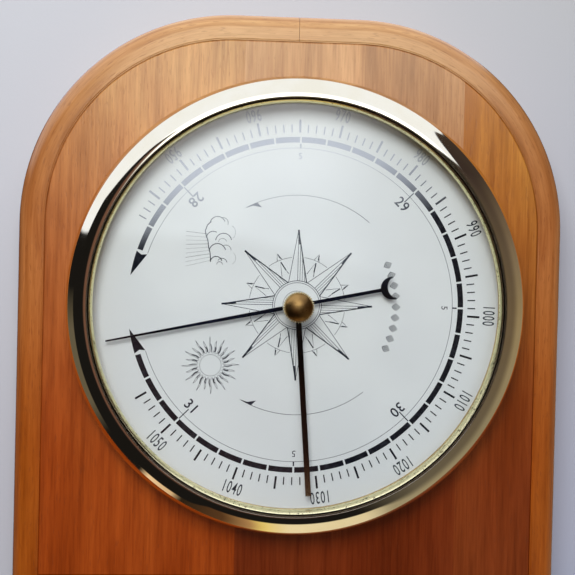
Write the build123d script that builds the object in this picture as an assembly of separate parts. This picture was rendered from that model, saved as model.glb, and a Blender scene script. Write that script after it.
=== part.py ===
from build123d import *
from math import atan2, cos, degrees, hypot, radians, sin
import os

# Aneroid barometer: a fit-up instrument in the bore of an arched wooden plaque.
# World frame in mm: X to the right seen from the front, Y into the wall, Z up.
# The origin is the place on the back face where the wall screw rests in the keyhole slot.
# The instrument is built in its own frame: origin at the dial centre on the plaque's front face,
# Y to the dial's twelve o'clock, Z out of the dial towards the viewer.

# ---- fits ----
RUNNING_FIT = 0.05
SCREW_FIT = 0.05
PRESS_LINE = 0.02
RUN_GAP = 0.3
SEAT_GAP = 0.1
DRIVER_SLOT = 0.6

# ---- plaque, measured from the bore for the instrument ----
SIDE_MARGIN = 20.0
FOOT_MARGIN = 27.5
BACK_SPACE = 3.0
CORNER_RADIUS = 62.0
RIM_WIDTH = 8.0
RIM_ROUNDING = 4.5
RIM_GROOVE = 0.45
LEFT_SEAM = -15.5
STAVE_WIDTH = 64.5
BORE_GAP = 2.1
INSERT_OFFSET = 1.0

# ---- keyhole hanger in the back, between the rim and the bore ----
HANGER_RIM_GAP = 1.0
HANGER_WEB = 1.5
HANGER_WIDTH = 30.0
HANGER_HEIGHT = 14.0
HANGER_THICKNESS = 1.2
HANGER_ABOVE_HOOK = 3.5
HANGER_CORNER = 3.0
HANGER_SINK = 1.5
HANGER_FIT = 0.2
KEYHOLE_ENTRY_RADIUS = 4.2
KEYHOLE_SLOT_RADIUS = 2.0
KEYHOLE_RISE = 5.0
HOOK_POCKET_SIDE = 0.8
HOOK_POCKET_DEPTH = 6.0
HANGER_SCREW_SPACING = 23.0
HANGER_SCREW_RADIUS = 1.4
HANGER_SCREW_LENGTH = 9.0
HANGER_SCREW_HEAD_RADIUS = 2.5
HANGER_SCREW_HEAD_HEIGHT = 1.2

# ---- case pot and bezel ----
DIAL_TURN = -90.0
POT_RADIUS = 57.9
POT_WALL = 0.8
BEZEL_OVERLAP = 5.5
BEZEL_FOOT_WALL = 1.9
BEZEL_HOLLOW_HEIGHT = 4.5
BEZEL_RISE = 3.4
BEZEL_ROLL_WIDTH = 6.6
BEZEL_ROLL_DROP = 6.6
BEZEL_FALL_WIDTH = 0.3
BEZEL_GROOVE_SIDE = 0.25
BEZEL_GROOVE_DROP = 1.75
BEZEL_RING_WIDTH = 0.8
BEZEL_RING_DROP = 1.5
VENT_RADIUS = 1.0
VENT_GAP = 9.0

# ---- clips that hold the pot in the bore ----
CLIP_COUNT = 3
CLIP_FIRST_BEARING = 30.0
CLIP_WIDTH = 10.0
CLIP_THICKNESS = 0.35
CLIP_TOP = -2.5
CLIP_STRAP = 4.5
CLIP_BORE_GAP = 0.45
CLIP_END_BOW = 0.4
CLIP_LENGTH = 14.0
CLIP_RIVET_RADIUS = 1.0
CLIP_RIVET_HEAD_RADIUS = 1.8
CLIP_RIVET_HEAD = 0.6

# ---- dial and glass ----
DIAL_THICKNESS = 0.6
DIAL_EDGE = 1.2
DIAL_HOLE_RADIUS = 1.9
HAND_SPACE = 4.8
GLASS_THICKNESS = 1.6
GLASS_EDGE = 0.6
GLASS_SIDE_GAP = 0.75
GLASS_SEAT_WALL = 2.4
GLASS_SEAT_SIDE_GAP = 2.2
LIP_GAP = 0.05

# ---- set hand, its spindle, bush and knob ----
SPINDLE_RADIUS = 1.0
BUSH_WALL = 0.55
BUSH_FLANGE_RADIUS = 2.9
BUSH_FLANGE = 0.4
BUSH_NUT_RADIUS = 2.7
BUSH_NUT = 0.35
SET_HAND_BEARING = 85.5
SET_HAND_END_GAP = 3.05
SET_HAND_WIDTH = 1.6
SET_HAND_THICKNESS = 0.4
SET_HUB_RADIUS = 2.6
SET_HUB_HEIGHT = 1.0
KNOB_RADIUS = 4.2
KNOB_NECK_RADIUS = 3.3
KNOB_NECK = 0.6
KNOB_BAND = 2.0
KNOB_DOME = 1.7
KNOB_GROOVES = 40
KNOB_GROOVE_DEPTH = 0.22
KNOB_GAP = 0.3

# ---- pointer ----
POINTER_BEARING = 168.46
POINTER_TIP_GAP = 2.1
POINTER_TIP_WIDTH = 0.35
POINTER_ROOT_WIDTH = 1.9
POINTER_TAIL_WIDTH = 1.0
POINTER_THICKNESS = 0.4
POINTER_LIFT = 1.7
POINTER_HUB_RADIUS = 2.4
POINTER_HUB_HEIGHT = 0.9
CRESCENT_CENTRE = 28.3
CRESCENT_RADIUS = 3.75
CRESCENT_CUT_SHIFT = 1.3
CRESCENT_CUT_RADIUS = 3.3

# ---- movement, stacked on the floor of the pot ----
MOVEMENT_GAP = 0.4
BASE_PLATE_RADIUS = 40.0
BASE_PLATE_SIDE_GAP = 1.1
BASE_PLATE_THICKNESS = 1.5
MOVEMENT_SCREW_EDGE = 7.0
MOVEMENT_SCREW_RADIUS = 1.2
MOVEMENT_SCREW_HEAD_RADIUS = 2.2
MOVEMENT_SCREW_HEAD = 1.1
PILLAR_SPACING = 32.0
PILLAR_RADIUS = 2.2
PILLAR_HEIGHT = 8.3
SPACER_HEIGHT = 5.0
BRIDGE_THICKNESS = 1.0
BRIDGE_WIDTH = 10.0
BRIDGE_CORNER = 3.3
BRIDGE_END = 4.0
BRIDGE_SCREW_RADIUS = 1.0
BRIDGE_SCREW_GRIP = 3.0
BRIDGE_SCREW_HEAD = 1.0

CAPSULE_RADIUS = 19.5
CAPSULE_SIDE_GAP = 2.5
CAPSULE_RIM = 1.5
CAPSULE_WAVE_EDGE = 3.0
CAPSULE_SHEET = 0.3
CAPSULE_HEIGHT = 4.2
CAPSULE_STUD_RADIUS = 2.6
CAPSULE_STUD = 0.8
CORRUGATIONS = 4
CORRUGATION_DEPTH = 0.55
CAPSULE_BOSS_RADIUS = 3.2
POST_RADIUS = 1.2
POST_HEIGHT = 1.8
POST_HEAD_RADIUS = 2.0
POST_HEAD = 0.7

SPRING_THICKNESS = 0.6
SPRING_ROOT_EDGE = 3.0
SPRING_OVERHANG = 8.0
SPRING_ROOT_WIDTH = 14.0
SPRING_END_WIDTH = 6.0
SPRING_BRIDGE_LENGTH = 7.0
SPRING_SCREW_SPACING = 8.0
SPRING_SCREW_RADIUS = 0.9
SPRING_SCREW_GRIP = 3.0
SPRING_SCREW_HEAD_RADIUS = 1.8
SPRING_SCREW_HEAD = 0.9

ROCKER_X = 15.0
ROCKER_HEIGHT = 3.4
ROCKER_ARM = 8.3
ROCKER_ARM_WIDTH = 1.4
ROCKER_ARM_THICKNESS = 0.8
ROCKER_SHORT_ARM = 3.0
ROCKER_REST_TILT = 19.5
ROCKER_SHAFT_RADIUS = 0.7
ROCKER_JOURNAL_RADIUS = 0.45
ROCKER_BEARING_SPAN = 20.0
ROCKER_BEARING_THICKNESS = 1.2
ROCKER_BEARING_WIDTH = 5.0
LEVER_THICKNESS = 1.0
LEVER_WIDTH = 2.0
LEVER_TIP_Y = -6.0
LEVER_EYE_RADIUS = 0.7
LEVER_PAD_LENGTH = 4.5
LEVER_START = 3.0
LINK_LENGTH = 2.6
LINK_WIDTH = 1.5
LINK_THICKNESS = 0.5
LINK_PIN_RADIUS = 0.3
LINK_PIN_PLAY = 0.2

ARBOR_RADIUS = 0.6
ARBOR_PIVOT_RADIUS = 0.35
DRUM_RADIUS = 0.7
DRUM_LENGTH = 2.0
DRUM_LIFT = 1.1
DRUM_FLANGE_RADIUS = 1.4
DRUM_FLANGE = 0.3
CHAIN_WIRE_RADIUS = 0.12
CHAIN_BEAD_RADIUS = 0.24
CHAIN_PITCH = 0.9
HAIRSPRING_LIFT = 0.7
HAIRSPRING_HEIGHT = 0.6
HAIRSPRING_WIRE = 0.15
HAIRSPRING_PITCH = 0.9
HAIRSPRING_TURNS = 5
COLLET_RADIUS = 1.2
STUD_RADIUS = 0.7

ADJUSTER_RADIUS = 1.9
ADJUSTER_HEAD_RADIUS = 2.8
ADJUSTER_HEAD = 1.3
ADJUSTER_END_GAP = 0.05

# Radii that follow from the pot outwards, and the outline of the plaque round them.
BORE_RADIUS = POT_RADIUS + BORE_GAP
BEZEL_RADIUS = BORE_RADIUS + BEZEL_OVERLAP
BEZEL_INNER_RADIUS = BEZEL_RADIUS - BEZEL_FOOT_WALL
POT_FLANGE_RADIUS = BEZEL_INNER_RADIUS - RUN_GAP
BEZEL_CREST_RADIUS = BEZEL_RADIUS - BEZEL_ROLL_WIDTH
BEZEL_GROOVE_RADIUS = BEZEL_CREST_RADIUS - BEZEL_FALL_WIDTH
BEZEL_RING_RADIUS = BEZEL_GROOVE_RADIUS - BEZEL_GROOVE_SIDE
BEZEL_LIP_RADIUS = BEZEL_RING_RADIUS - BEZEL_RING_WIDTH
GLASS_SEAT_RADIUS = BEZEL_INNER_RADIUS - GLASS_SEAT_SIDE_GAP
GLASS_RADIUS = GLASS_SEAT_RADIUS - GLASS_EDGE
DIAL_RADIUS = GLASS_SEAT_RADIUS - DIAL_EDGE
SET_HAND_LENGTH = BEZEL_LIP_RADIUS - SET_HAND_END_GAP
POINTER_LENGTH = BEZEL_LIP_RADIUS - POINTER_TIP_GAP
BUSH_RADIUS = SPINDLE_RADIUS + RUNNING_FIT + BUSH_WALL
TOP_MARGIN = RIM_WIDTH + HANGER_RIM_GAP + HANGER_HEIGHT + HANGER_WEB
PLAQUE_WIDTH = 2 * (BORE_RADIUS + SIDE_MARGIN)
PLAQUE_HEIGHT = TOP_MARGIN + 2 * BORE_RADIUS + FOOT_MARGIN
TOP = HANGER_ABOVE_HOOK + HANGER_RIM_GAP + RIM_WIDTH
BOTTOM = TOP - PLAQUE_HEIGHT
DIAL_Z = TOP - TOP_MARGIN - BORE_RADIUS

# Depths that follow from the movement's stack, and levels above the plaque's front face.
BRIDGE_STACK = PILLAR_HEIGHT + SPACER_HEIGHT + 2 * BRIDGE_THICKNESS + BRIDGE_SCREW_HEAD
POT_DEPTH = POT_WALL + BASE_PLATE_THICKNESS + BRIDGE_STACK + MOVEMENT_GAP
PLAQUE_THICKNESS = POT_DEPTH + BACK_SPACE
FLOOR_LEVEL = POT_WALL - POT_DEPTH
PLATE_LEVEL = FLOOR_LEVEL + BASE_PLATE_THICKNESS
FLANGE_LEVEL = SEAT_GAP + POT_WALL
DIAL_LEVEL = FLANGE_LEVEL + DIAL_THICKNESS
GLASS_LEVEL = DIAL_LEVEL + HAND_SPACE
GLASS_TOP = GLASS_LEVEL + GLASS_THICKNESS
LIP_LEVEL = GLASS_TOP + LIP_GAP
CREST_LEVEL = LIP_LEVEL + BEZEL_RISE
POINTER_LEVEL = DIAL_LEVEL + POINTER_LIFT
SET_HUB_TOP = GLASS_LEVEL - BUSH_NUT - SEAT_GAP
SET_HUB_LEVEL = SET_HUB_TOP - SET_HUB_HEIGHT
KNOB_LEVEL = GLASS_TOP + BUSH_FLANGE + KNOB_GAP
RIVET_LEVEL = CLIP_TOP - CLIP_STRAP / 2
CAPSULE_LEVEL = PLATE_LEVEL + CAPSULE_STUD
CAPSULE_TOP = CAPSULE_LEVEL + CAPSULE_HEIGHT
SPRING_LEVEL = CAPSULE_TOP + POST_HEIGHT
SPRING_TOP = SPRING_LEVEL + SPRING_THICKNESS
ROCKER_LEVEL = PLATE_LEVEL + ROCKER_HEIGHT
LOWER_BRIDGE_LEVEL = PLATE_LEVEL + PILLAR_HEIGHT
LOWER_BRIDGE_TOP = LOWER_BRIDGE_LEVEL + BRIDGE_THICKNESS
UPPER_BRIDGE_LEVEL = LOWER_BRIDGE_TOP + SPACER_HEIGHT
UPPER_BRIDGE_TOP = UPPER_BRIDGE_LEVEL + BRIDGE_THICKNESS
DRUM_LEVEL = LOWER_BRIDGE_TOP + DRUM_LIFT
HAIRSPRING_LEVEL = DRUM_LEVEL + DRUM_LENGTH + HAIRSPRING_LIFT

# Places along the movement, from the pot's wall to the pointer's arbor at zero.
BASE_PLATE_OFFSET = BASE_PLATE_RADIUS + BASE_PLATE_SIDE_GAP + POT_WALL - POT_RADIUS
SPRING_ROOT_X = BASE_PLATE_OFFSET - BASE_PLATE_RADIUS + SPRING_ROOT_EDGE
SPRING_FLEX_X = SPRING_ROOT_X + SPRING_BRIDGE_LENGTH
CAPSULE_X = SPRING_FLEX_X + CAPSULE_SIDE_GAP + CAPSULE_RADIUS
SPRING_END_X = CAPSULE_X + SPRING_OVERHANG
VENT_X = BASE_PLATE_OFFSET + BASE_PLATE_RADIUS + VENT_GAP + VENT_RADIUS
LINK_X = ROCKER_X + ROCKER_SHORT_ARM * cos(radians(ROCKER_REST_TILT))
LINK_LOW = ROCKER_LEVEL - ROCKER_SHORT_ARM * sin(radians(ROCKER_REST_TILT))
LINK_HIGH = LINK_LOW + LINK_LENGTH
CHAIN_RADIUS = DRUM_RADIUS + CHAIN_BEAD_RADIUS
CHAIN_Y = CHAIN_RADIUS + PRESS_LINE
HAIRSPRING_START = COLLET_RADIUS + HAIRSPRING_PITCH / 4 + RUNNING_FIT

turn = radians(DIAL_TURN)
INSTRUMENT = Plane(
    origin=(INSERT_OFFSET, -PLAQUE_THICKNESS, DIAL_Z),
    x_dir=(cos(turn), 0, sin(turn)),
    z_dir=(0, -1, 0),
)


def place(*solids):
    """Carry solids from the instrument frame to the world frame, as one group."""
    moved = [INSTRUMENT.location * solid for solid in solids]
    return moved[0] if len(moved) == 1 else Compound(children=moved)


def rod(radius, low, high, x=0.0, y=0.0):
    """Upright cylinder from one level to another."""
    return Pos(x, y, (low + high) / 2) * Cylinder(radius, high - low)


def tube(outer, inner, low, high, x=0.0, y=0.0):
    return rod(outer, low, high, x, y) - rod(inner, low, high, x, y)


def block(x_span, y_span, z_span):
    """Box given by its lowest and highest x, y and z."""
    size = [high - low for low, high in (x_span, y_span, z_span)]
    middle = [(high + low) / 2 for low, high in (x_span, y_span, z_span)]
    return Pos(*middle) * Box(*size)


def turned(points):
    """Solid of revolution about Z from (radius, height) corners."""
    outline = make_face(Polyline(*points, close=True))
    return revolve(Plane.XZ * outline, Axis.Z)


def prism(points, low, high):
    """Flat shape from (x, y) corners, raised from one level to another."""
    outline = make_face(Polyline(*points, close=True))
    return Pos(0, 0, low) * extrude(outline, amount=high - low)


def screw(shank_radius, shank_length, head_radius, head_height):
    """Slotted screw on Z: the head's underside at zero, the head above, the shank below."""
    head = rod(head_radius, 0, head_height)
    slot = Pos(0, 0, head_height * 3 / 4) * Box(2 * head_radius, DRIVER_SLOT, head_height / 2)
    return head - slot + rod(shank_radius, -shank_length, 0)


# ---- plaque ----

def plaque_face(inset):
    """Front outline of the plaque, moved inwards: straight sides, rounded shoulders, flat foot."""
    width = PLAQUE_WIDTH - 2 * inset
    height = PLAQUE_HEIGHT - 2 * inset
    face = Pos(0, (TOP + BOTTOM) / 2) * Rectangle(width, height)
    shoulders = face.vertices().group_by(Axis.Y)[-1]
    return Plane.XZ * fillet(shoulders, CORNER_RADIUS - inset)


def plaque_slab(inset):
    return extrude(plaque_face(inset), amount=PLAQUE_THICKNESS)


def front_edges(solid):
    return solid.faces().sort_by(Axis.Y)[0].outer_wire().edges()


def make_rim():
    """Edge moulding round the staves: left and right halves that meet at the top, and the foot strip."""
    outer = plaque_slab(0)
    outer = fillet(front_edges(outer), RIM_ROUNDING)
    inner = plaque_slab(RIM_WIDTH)
    ring = outer - inner
    groove = plaque_slab(RIM_WIDTH - RIM_GROOVE) - inner
    front_skin = (-PLAQUE_THICKNESS, RIM_GROOVE - PLAQUE_THICKNESS)
    ring = ring - (groove & block((-PLAQUE_WIDTH, PLAQUE_WIDTH), front_skin, (BOTTOM, TOP)))
    half = PLAQUE_WIDTH / 2
    inner_half = half - RIM_WIDTH
    inner_foot = BOTTOM + RIM_WIDTH
    mitre = [(-half, BOTTOM), (half, BOTTOM), (inner_half, inner_foot), (-inner_half, inner_foot)]
    wedge = extrude(Plane.XZ * make_face(Polyline(*mitre, close=True)), amount=PLAQUE_THICKNESS)
    sides = ring - wedge
    left = sides & block((-PLAQUE_WIDTH, 0), (-PLAQUE_THICKNESS, 0), (BOTTOM, TOP))
    right = sides & block((0, PLAQUE_WIDTH), (-PLAQUE_THICKNESS, 0), (BOTTOM, TOP))
    return left, right, ring & wedge


def hanger_outline(grow):
    """Outline of the hanger plate in the plane of the back."""
    middle = HANGER_ABOVE_HOOK - HANGER_HEIGHT / 2
    face = RectangleRounded(HANGER_WIDTH + 2 * grow, HANGER_HEIGHT + 2 * grow, HANGER_CORNER + grow)
    return Plane.XZ * (Pos(0, middle) * face)


def keyhole(entry_radius, slot_radius):
    """Round entry with a slot that rises from it to the place of the wall screw."""
    entry = Pos(0, -KEYHOLE_RISE) * Circle(entry_radius)
    slot = Pos(0, -KEYHOLE_RISE / 2) * Rectangle(2 * slot_radius, KEYHOLE_RISE)
    return Plane.XZ * (entry + slot + Circle(slot_radius))


def back_layer(face, near, far):
    """Flat shape in the back plane, from one depth behind the back face to another."""
    return Pos(0, -near, 0) * extrude(face, amount=far - near)


def hanger_screw_places():
    middle = HANGER_ABOVE_HOOK - HANGER_HEIGHT / 2
    return [(side * HANGER_SCREW_SPACING / 2, middle) for side in (-1, 1)]


def at_back(solid, x, z, depth):
    """Turn a solid built on Z so that its Z points out of the back, and sink it by a depth."""
    return Pos(x, -depth, z) * Rot(-90, 0, 0) * solid


def make_staves():
    """Glued boards: the bore parts the middle one into an upper and a lower piece."""
    panel = plaque_slab(RIM_WIDTH)
    panel = chamfer(front_edges(panel), RIM_GROOVE)
    bore = Rot(90, 0, 0) * Cylinder(BORE_RADIUS, PLAQUE_THICKNESS)
    bore = Pos(INSERT_OFFSET, -PLAQUE_THICKNESS / 2, DIAL_Z) * bore
    recess = back_layer(hanger_outline(HANGER_FIT), 0, HANGER_SINK + HANGER_THICKNESS)
    pocket_far = HANGER_SINK + HANGER_THICKNESS + HOOK_POCKET_DEPTH
    pocket_radius = KEYHOLE_ENTRY_RADIUS + HOOK_POCKET_SIDE
    pocket = back_layer(keyhole(pocket_radius, pocket_radius), HANGER_SINK, pocket_far)
    panel = panel - bore - recess - pocket
    for x, z in hanger_screw_places():
        hole = rod(HANGER_SCREW_RADIUS + SCREW_FIT, -HANGER_SCREW_LENGTH - RUN_GAP, 0)
        panel = panel - at_back(hole, x, z, HANGER_SINK)
    seams = [-PLAQUE_WIDTH / 2, LEFT_SEAM, LEFT_SEAM + STAVE_WIDTH, PLAQUE_WIDTH / 2]
    boards = []
    for low, high in zip(seams[:-1], seams[1:]):
        board = panel & block((low, high), (-PLAQUE_THICKNESS, 0), (BOTTOM, TOP))
        boards.append(board.solids().sort_by(Axis.Z))
    left, centre, right = boards
    return left[0], centre[-1], centre[0], right[0]


def make_hanger():
    far_side = HANGER_SINK + HANGER_THICKNESS
    plate = back_layer(hanger_outline(0), HANGER_SINK, far_side)
    plate = plate - back_layer(keyhole(KEYHOLE_ENTRY_RADIUS, KEYHOLE_SLOT_RADIUS), HANGER_SINK, far_side)
    screws = []
    for x, z in hanger_screw_places():
        shank_hole = rod(HANGER_SCREW_RADIUS + SCREW_FIT, -HANGER_THICKNESS, 0)
        plate = plate - at_back(shank_hole, x, z, HANGER_SINK)
        fixing = screw(
            HANGER_SCREW_RADIUS, HANGER_SCREW_LENGTH, HANGER_SCREW_HEAD_RADIUS, HANGER_SCREW_HEAD_HEIGHT,
        )
        screws.append(at_back(fixing, x, z, HANGER_SINK))
    return plate, Compound(children=screws)


# ---- case ----

def movement_screw_places():
    bearings = (90, 210, 330)
    reach = BASE_PLATE_RADIUS - MOVEMENT_SCREW_EDGE
    return [(BASE_PLATE_OFFSET + reach * cos(radians(b)), reach * sin(radians(b))) for b in bearings]


def on_wall(solid, bearing):
    """Turn a solid built with X outwards to a bearing round the pot."""
    return Rot(0, 0, bearing) * solid


def clip_bearings():
    return [CLIP_FIRST_BEARING + 360 / CLIP_COUNT * i for i in range(CLIP_COUNT)]


def radial_rod(radius, near, far, level):
    """Cylinder along X at one level, from one distance to another."""
    return Pos((near + far) / 2, 0, level) * Rot(0, 90, 0) * Cylinder(radius, far - near)


def make_pot():
    """Deep-drawn cup whose flange lies on the plaque's front face."""
    inside = POT_RADIUS - POT_WALL
    pot = turned([
        (0, -POT_DEPTH), (POT_RADIUS, -POT_DEPTH), (POT_RADIUS, SEAT_GAP), (POT_FLANGE_RADIUS, SEAT_GAP),
        (POT_FLANGE_RADIUS, FLANGE_LEVEL), (inside, FLANGE_LEVEL), (inside, FLOOR_LEVEL), (0, FLOOR_LEVEL),
    ])
    pot = pot - rod(ADJUSTER_RADIUS + RUNNING_FIT, -POT_DEPTH, FLOOR_LEVEL, CAPSULE_X)
    pot = pot - rod(VENT_RADIUS, -POT_DEPTH, FLOOR_LEVEL, VENT_X)
    for x, y in movement_screw_places():
        pot = pot - rod(MOVEMENT_SCREW_RADIUS + SCREW_FIT, -POT_DEPTH, FLOOR_LEVEL, x, y)
    for bearing in clip_bearings():
        hole = radial_rod(CLIP_RIVET_RADIUS + SCREW_FIT, inside - RUN_GAP, POT_RADIUS, RIVET_LEVEL)
        pot = pot - on_wall(hole, bearing)
    return pot


def make_clips():
    """Spring-steel fingers riveted to the pot, bowed outwards to grip the bore."""
    flat = POT_RADIUS + SEAT_GAP
    bend = CLIP_TOP - CLIP_STRAP
    end = CLIP_TOP - CLIP_LENGTH
    peak = (bend + end) / 2
    crown = BORE_RADIUS - CLIP_BORE_GAP - CLIP_THICKNESS
    spine = [(flat, CLIP_TOP), (flat, bend), (crown, peak), (flat + CLIP_END_BOW, end)]
    outside = [(r + CLIP_THICKNESS, z) for r, z in reversed(spine)]
    profile = make_face(Polyline(*spine, *outside, close=True))
    leaf = extrude(Plane.XZ * profile, amount=CLIP_WIDTH / 2, both=True)
    inner_head = POT_RADIUS - POT_WALL - SEAT_GAP
    outer_head = flat + CLIP_THICKNESS
    leaf = leaf - radial_rod(CLIP_RIVET_RADIUS + SCREW_FIT, flat, outer_head, RIVET_LEVEL)
    rivet = radial_rod(CLIP_RIVET_RADIUS, inner_head, outer_head, RIVET_LEVEL)
    rivet = rivet + radial_rod(CLIP_RIVET_HEAD_RADIUS, inner_head - CLIP_RIVET_HEAD, inner_head, RIVET_LEVEL)
    rivet = rivet + radial_rod(CLIP_RIVET_HEAD_RADIUS, outer_head, outer_head + CLIP_RIVET_HEAD, RIVET_LEVEL)
    leaves = [on_wall(leaf, bearing) for bearing in clip_bearings()]
    rivets = [on_wall(rivet, bearing) for bearing in clip_bearings()]
    return place(*leaves), place(*rivets)


def make_bezel():
    """Spun brass ring: upright skirt, convex roll, fine groove, and a rounded inner ring down to the lip."""
    groove_level = CREST_LEVEL - BEZEL_GROOVE_DROP
    foot = (BEZEL_RADIUS, SEAT_GAP)
    shoulder = (BEZEL_RADIUS, CREST_LEVEL - BEZEL_ROLL_DROP)
    groove = (BEZEL_GROOVE_RADIUS, groove_level)
    ring_top = (BEZEL_RING_RADIUS, CREST_LEVEL - BEZEL_RING_DROP)
    lip = (BEZEL_LIP_RADIUS, LIP_LEVEL)
    under_roll = (GLASS_RADIUS + GLASS_SIDE_GAP, LIP_LEVEL)
    inner_shoulder = (BEZEL_INNER_RADIUS, BEZEL_HOLLOW_HEIGHT)
    inner_foot = (BEZEL_INNER_RADIUS, SEAT_GAP)
    roll = EllipticalCenterArc(
        (BEZEL_CREST_RADIUS, CREST_LEVEL - BEZEL_ROLL_DROP), BEZEL_ROLL_WIDTH, BEZEL_ROLL_DROP,
        start_angle=0, arc_size=90,
    )
    fall = EllipticalCenterArc(
        (BEZEL_CREST_RADIUS, groove_level), BEZEL_FALL_WIDTH, BEZEL_GROOVE_DROP,
        start_angle=90, arc_size=90,
    )
    ring = EllipticalCenterArc(
        (BEZEL_RING_RADIUS, LIP_LEVEL), BEZEL_RING_WIDTH, BEZEL_RISE - BEZEL_RING_DROP,
        start_angle=90, arc_size=90,
    )
    step = Line(groove, ring_top)
    rest = Polyline(lip, under_roll, inner_shoulder, inner_foot, foot, shoulder)
    return revolve(Plane.XZ * make_face(Curve() + [roll, fall, step, ring, rest]), Axis.Z)


# ---- dial, glass and set hand ----

def make_bush():
    """Flanged bearing through the glass for the spindle, and the ring nut that clamps it."""
    low = GLASS_LEVEL - BUSH_NUT
    high = GLASS_TOP + BUSH_FLANGE
    bush = rod(BUSH_RADIUS, low, GLASS_TOP) + rod(BUSH_FLANGE_RADIUS, GLASS_TOP, high)
    bush = bush - rod(SPINDLE_RADIUS + RUNNING_FIT, low, high)
    nut = tube(BUSH_NUT_RADIUS, BUSH_RADIUS + SCREW_FIT, low, GLASS_LEVEL)
    return place(bush), place(nut)


def make_set_hand():
    """Flat brass bar with a square end on a round hub."""
    hub = tube(SET_HUB_RADIUS, SPINDLE_RADIUS + PRESS_LINE, SET_HUB_LEVEL, SET_HUB_TOP)
    half = SET_HAND_WIDTH / 2
    bar_top = SET_HUB_LEVEL + SET_HAND_THICKNESS
    bar = block((-half, half), (SPINDLE_RADIUS + half, SET_HAND_LENGTH), (SET_HUB_LEVEL, bar_top))
    return Rot(0, 0, -SET_HAND_BEARING) * (hub + bar)


def make_knob():
    """Milled knob with a shallow dome, bored from below for the spindle."""
    band_low = KNOB_LEVEL + KNOB_NECK
    band_high = band_low + KNOB_BAND
    body = rod(KNOB_NECK_RADIUS, KNOB_LEVEL, band_low) + rod(KNOB_RADIUS, band_low, band_high)
    dome_radius = (KNOB_RADIUS ** 2 + KNOB_DOME ** 2) / (2 * KNOB_DOME)
    dome = Pos(0, 0, band_high + KNOB_DOME - dome_radius) * Sphere(dome_radius)
    dome = dome & rod(KNOB_RADIUS, band_high, band_high + KNOB_DOME)
    groove = Rot(0, 0, 45) * Box(KNOB_GROOVE_DEPTH * 2, KNOB_GROOVE_DEPTH * 2, KNOB_BAND)
    groove = Pos(KNOB_RADIUS + KNOB_GROOVE_DEPTH / 2, 0, (band_low + band_high) / 2) * groove
    milling = [Rot(0, 0, 360 / KNOB_GROOVES * i) * groove for i in range(KNOB_GROOVES)]
    body = body + dome - milling
    return body - rod(SPINDLE_RADIUS + PRESS_LINE, KNOB_LEVEL, band_high + PRESS_LINE), band_high


# ---- pointer and its arbor ----

def make_pointer():
    """Thin tapering hand with a crescent tail whose horns point outwards."""
    low = POINTER_LEVEL
    high = low + POINTER_THICKNESS
    root = POINTER_ROOT_WIDTH / 2
    tip = POINTER_TIP_WIDTH / 2
    tail = POINTER_TAIL_WIDTH / 2
    tail_end = CRESCENT_RADIUS / 2 - CRESCENT_CENTRE
    blade = prism([(-root, 0), (root, 0), (tip, POINTER_LENGTH), (-tip, POINTER_LENGTH)], low, high)
    shank = prism([(-root, 0), (-tail, tail_end), (tail, tail_end), (root, 0)], low, high)
    crescent = rod(CRESCENT_RADIUS, low, high, 0, -CRESCENT_CENTRE)
    cut = rod(CRESCENT_CUT_RADIUS, low, high, 0, -CRESCENT_CENTRE - CRESCENT_CUT_SHIFT)
    hub = rod(POINTER_HUB_RADIUS, low, low + POINTER_HUB_HEIGHT)
    hand = blade + shank + crescent - cut + hub
    hand = hand - rod(ARBOR_RADIUS + PRESS_LINE, low, low + POINTER_HUB_HEIGHT)
    return Rot(0, 0, -POINTER_BEARING) * hand


def make_arbor():
    """Pointer arbor: lower pivot, chain drum between flanges, hairspring collet, end in the pointer."""
    top = POINTER_LEVEL + POINTER_HUB_HEIGHT
    arbor = rod(ARBOR_RADIUS, LOWER_BRIDGE_TOP + RUN_GAP, top)
    arbor = arbor + rod(ARBOR_PIVOT_RADIUS, LOWER_BRIDGE_LEVEL, LOWER_BRIDGE_TOP + RUN_GAP)
    arbor = arbor + rod(DRUM_RADIUS, DRUM_LEVEL, DRUM_LEVEL + DRUM_LENGTH)
    for level in (DRUM_LEVEL - DRUM_FLANGE, DRUM_LEVEL + DRUM_LENGTH):
        arbor = arbor + rod(DRUM_FLANGE_RADIUS, level, level + DRUM_FLANGE)
    return arbor + rod(COLLET_RADIUS, HAIRSPRING_LEVEL, HAIRSPRING_LEVEL + HAIRSPRING_HEIGHT)


def make_hairspring():
    """Flat spiral built from half turns whose centres change sides; it ends on the stud's bearing."""
    step = HAIRSPRING_PITCH / 4
    middle = HAIRSPRING_LEVEL + HAIRSPRING_HEIGHT / 2
    spiral = None
    for i in range(2 * HAIRSPRING_TURNS):
        radius = HAIRSPRING_START + HAIRSPRING_PITCH / 2 * i
        side = 1 if i % 2 == 0 else -1
        ring = Cylinder(radius + HAIRSPRING_WIRE, HAIRSPRING_HEIGHT) - Cylinder(radius, HAIRSPRING_HEIGHT)
        reach = radius + 2 * HAIRSPRING_WIRE
        ring = ring & (Pos(side * reach / 2, 0, 0) * Box(reach, 2 * reach, HAIRSPRING_HEIGHT))
        ring = Pos(0, side * step, middle) * ring
        spiral = ring if spiral is None else spiral + ring
    end_y = step + HAIRSPRING_START + HAIRSPRING_PITCH / 2 * (2 * HAIRSPRING_TURNS - 1)
    return spiral, end_y


# ---- movement ----

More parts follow.
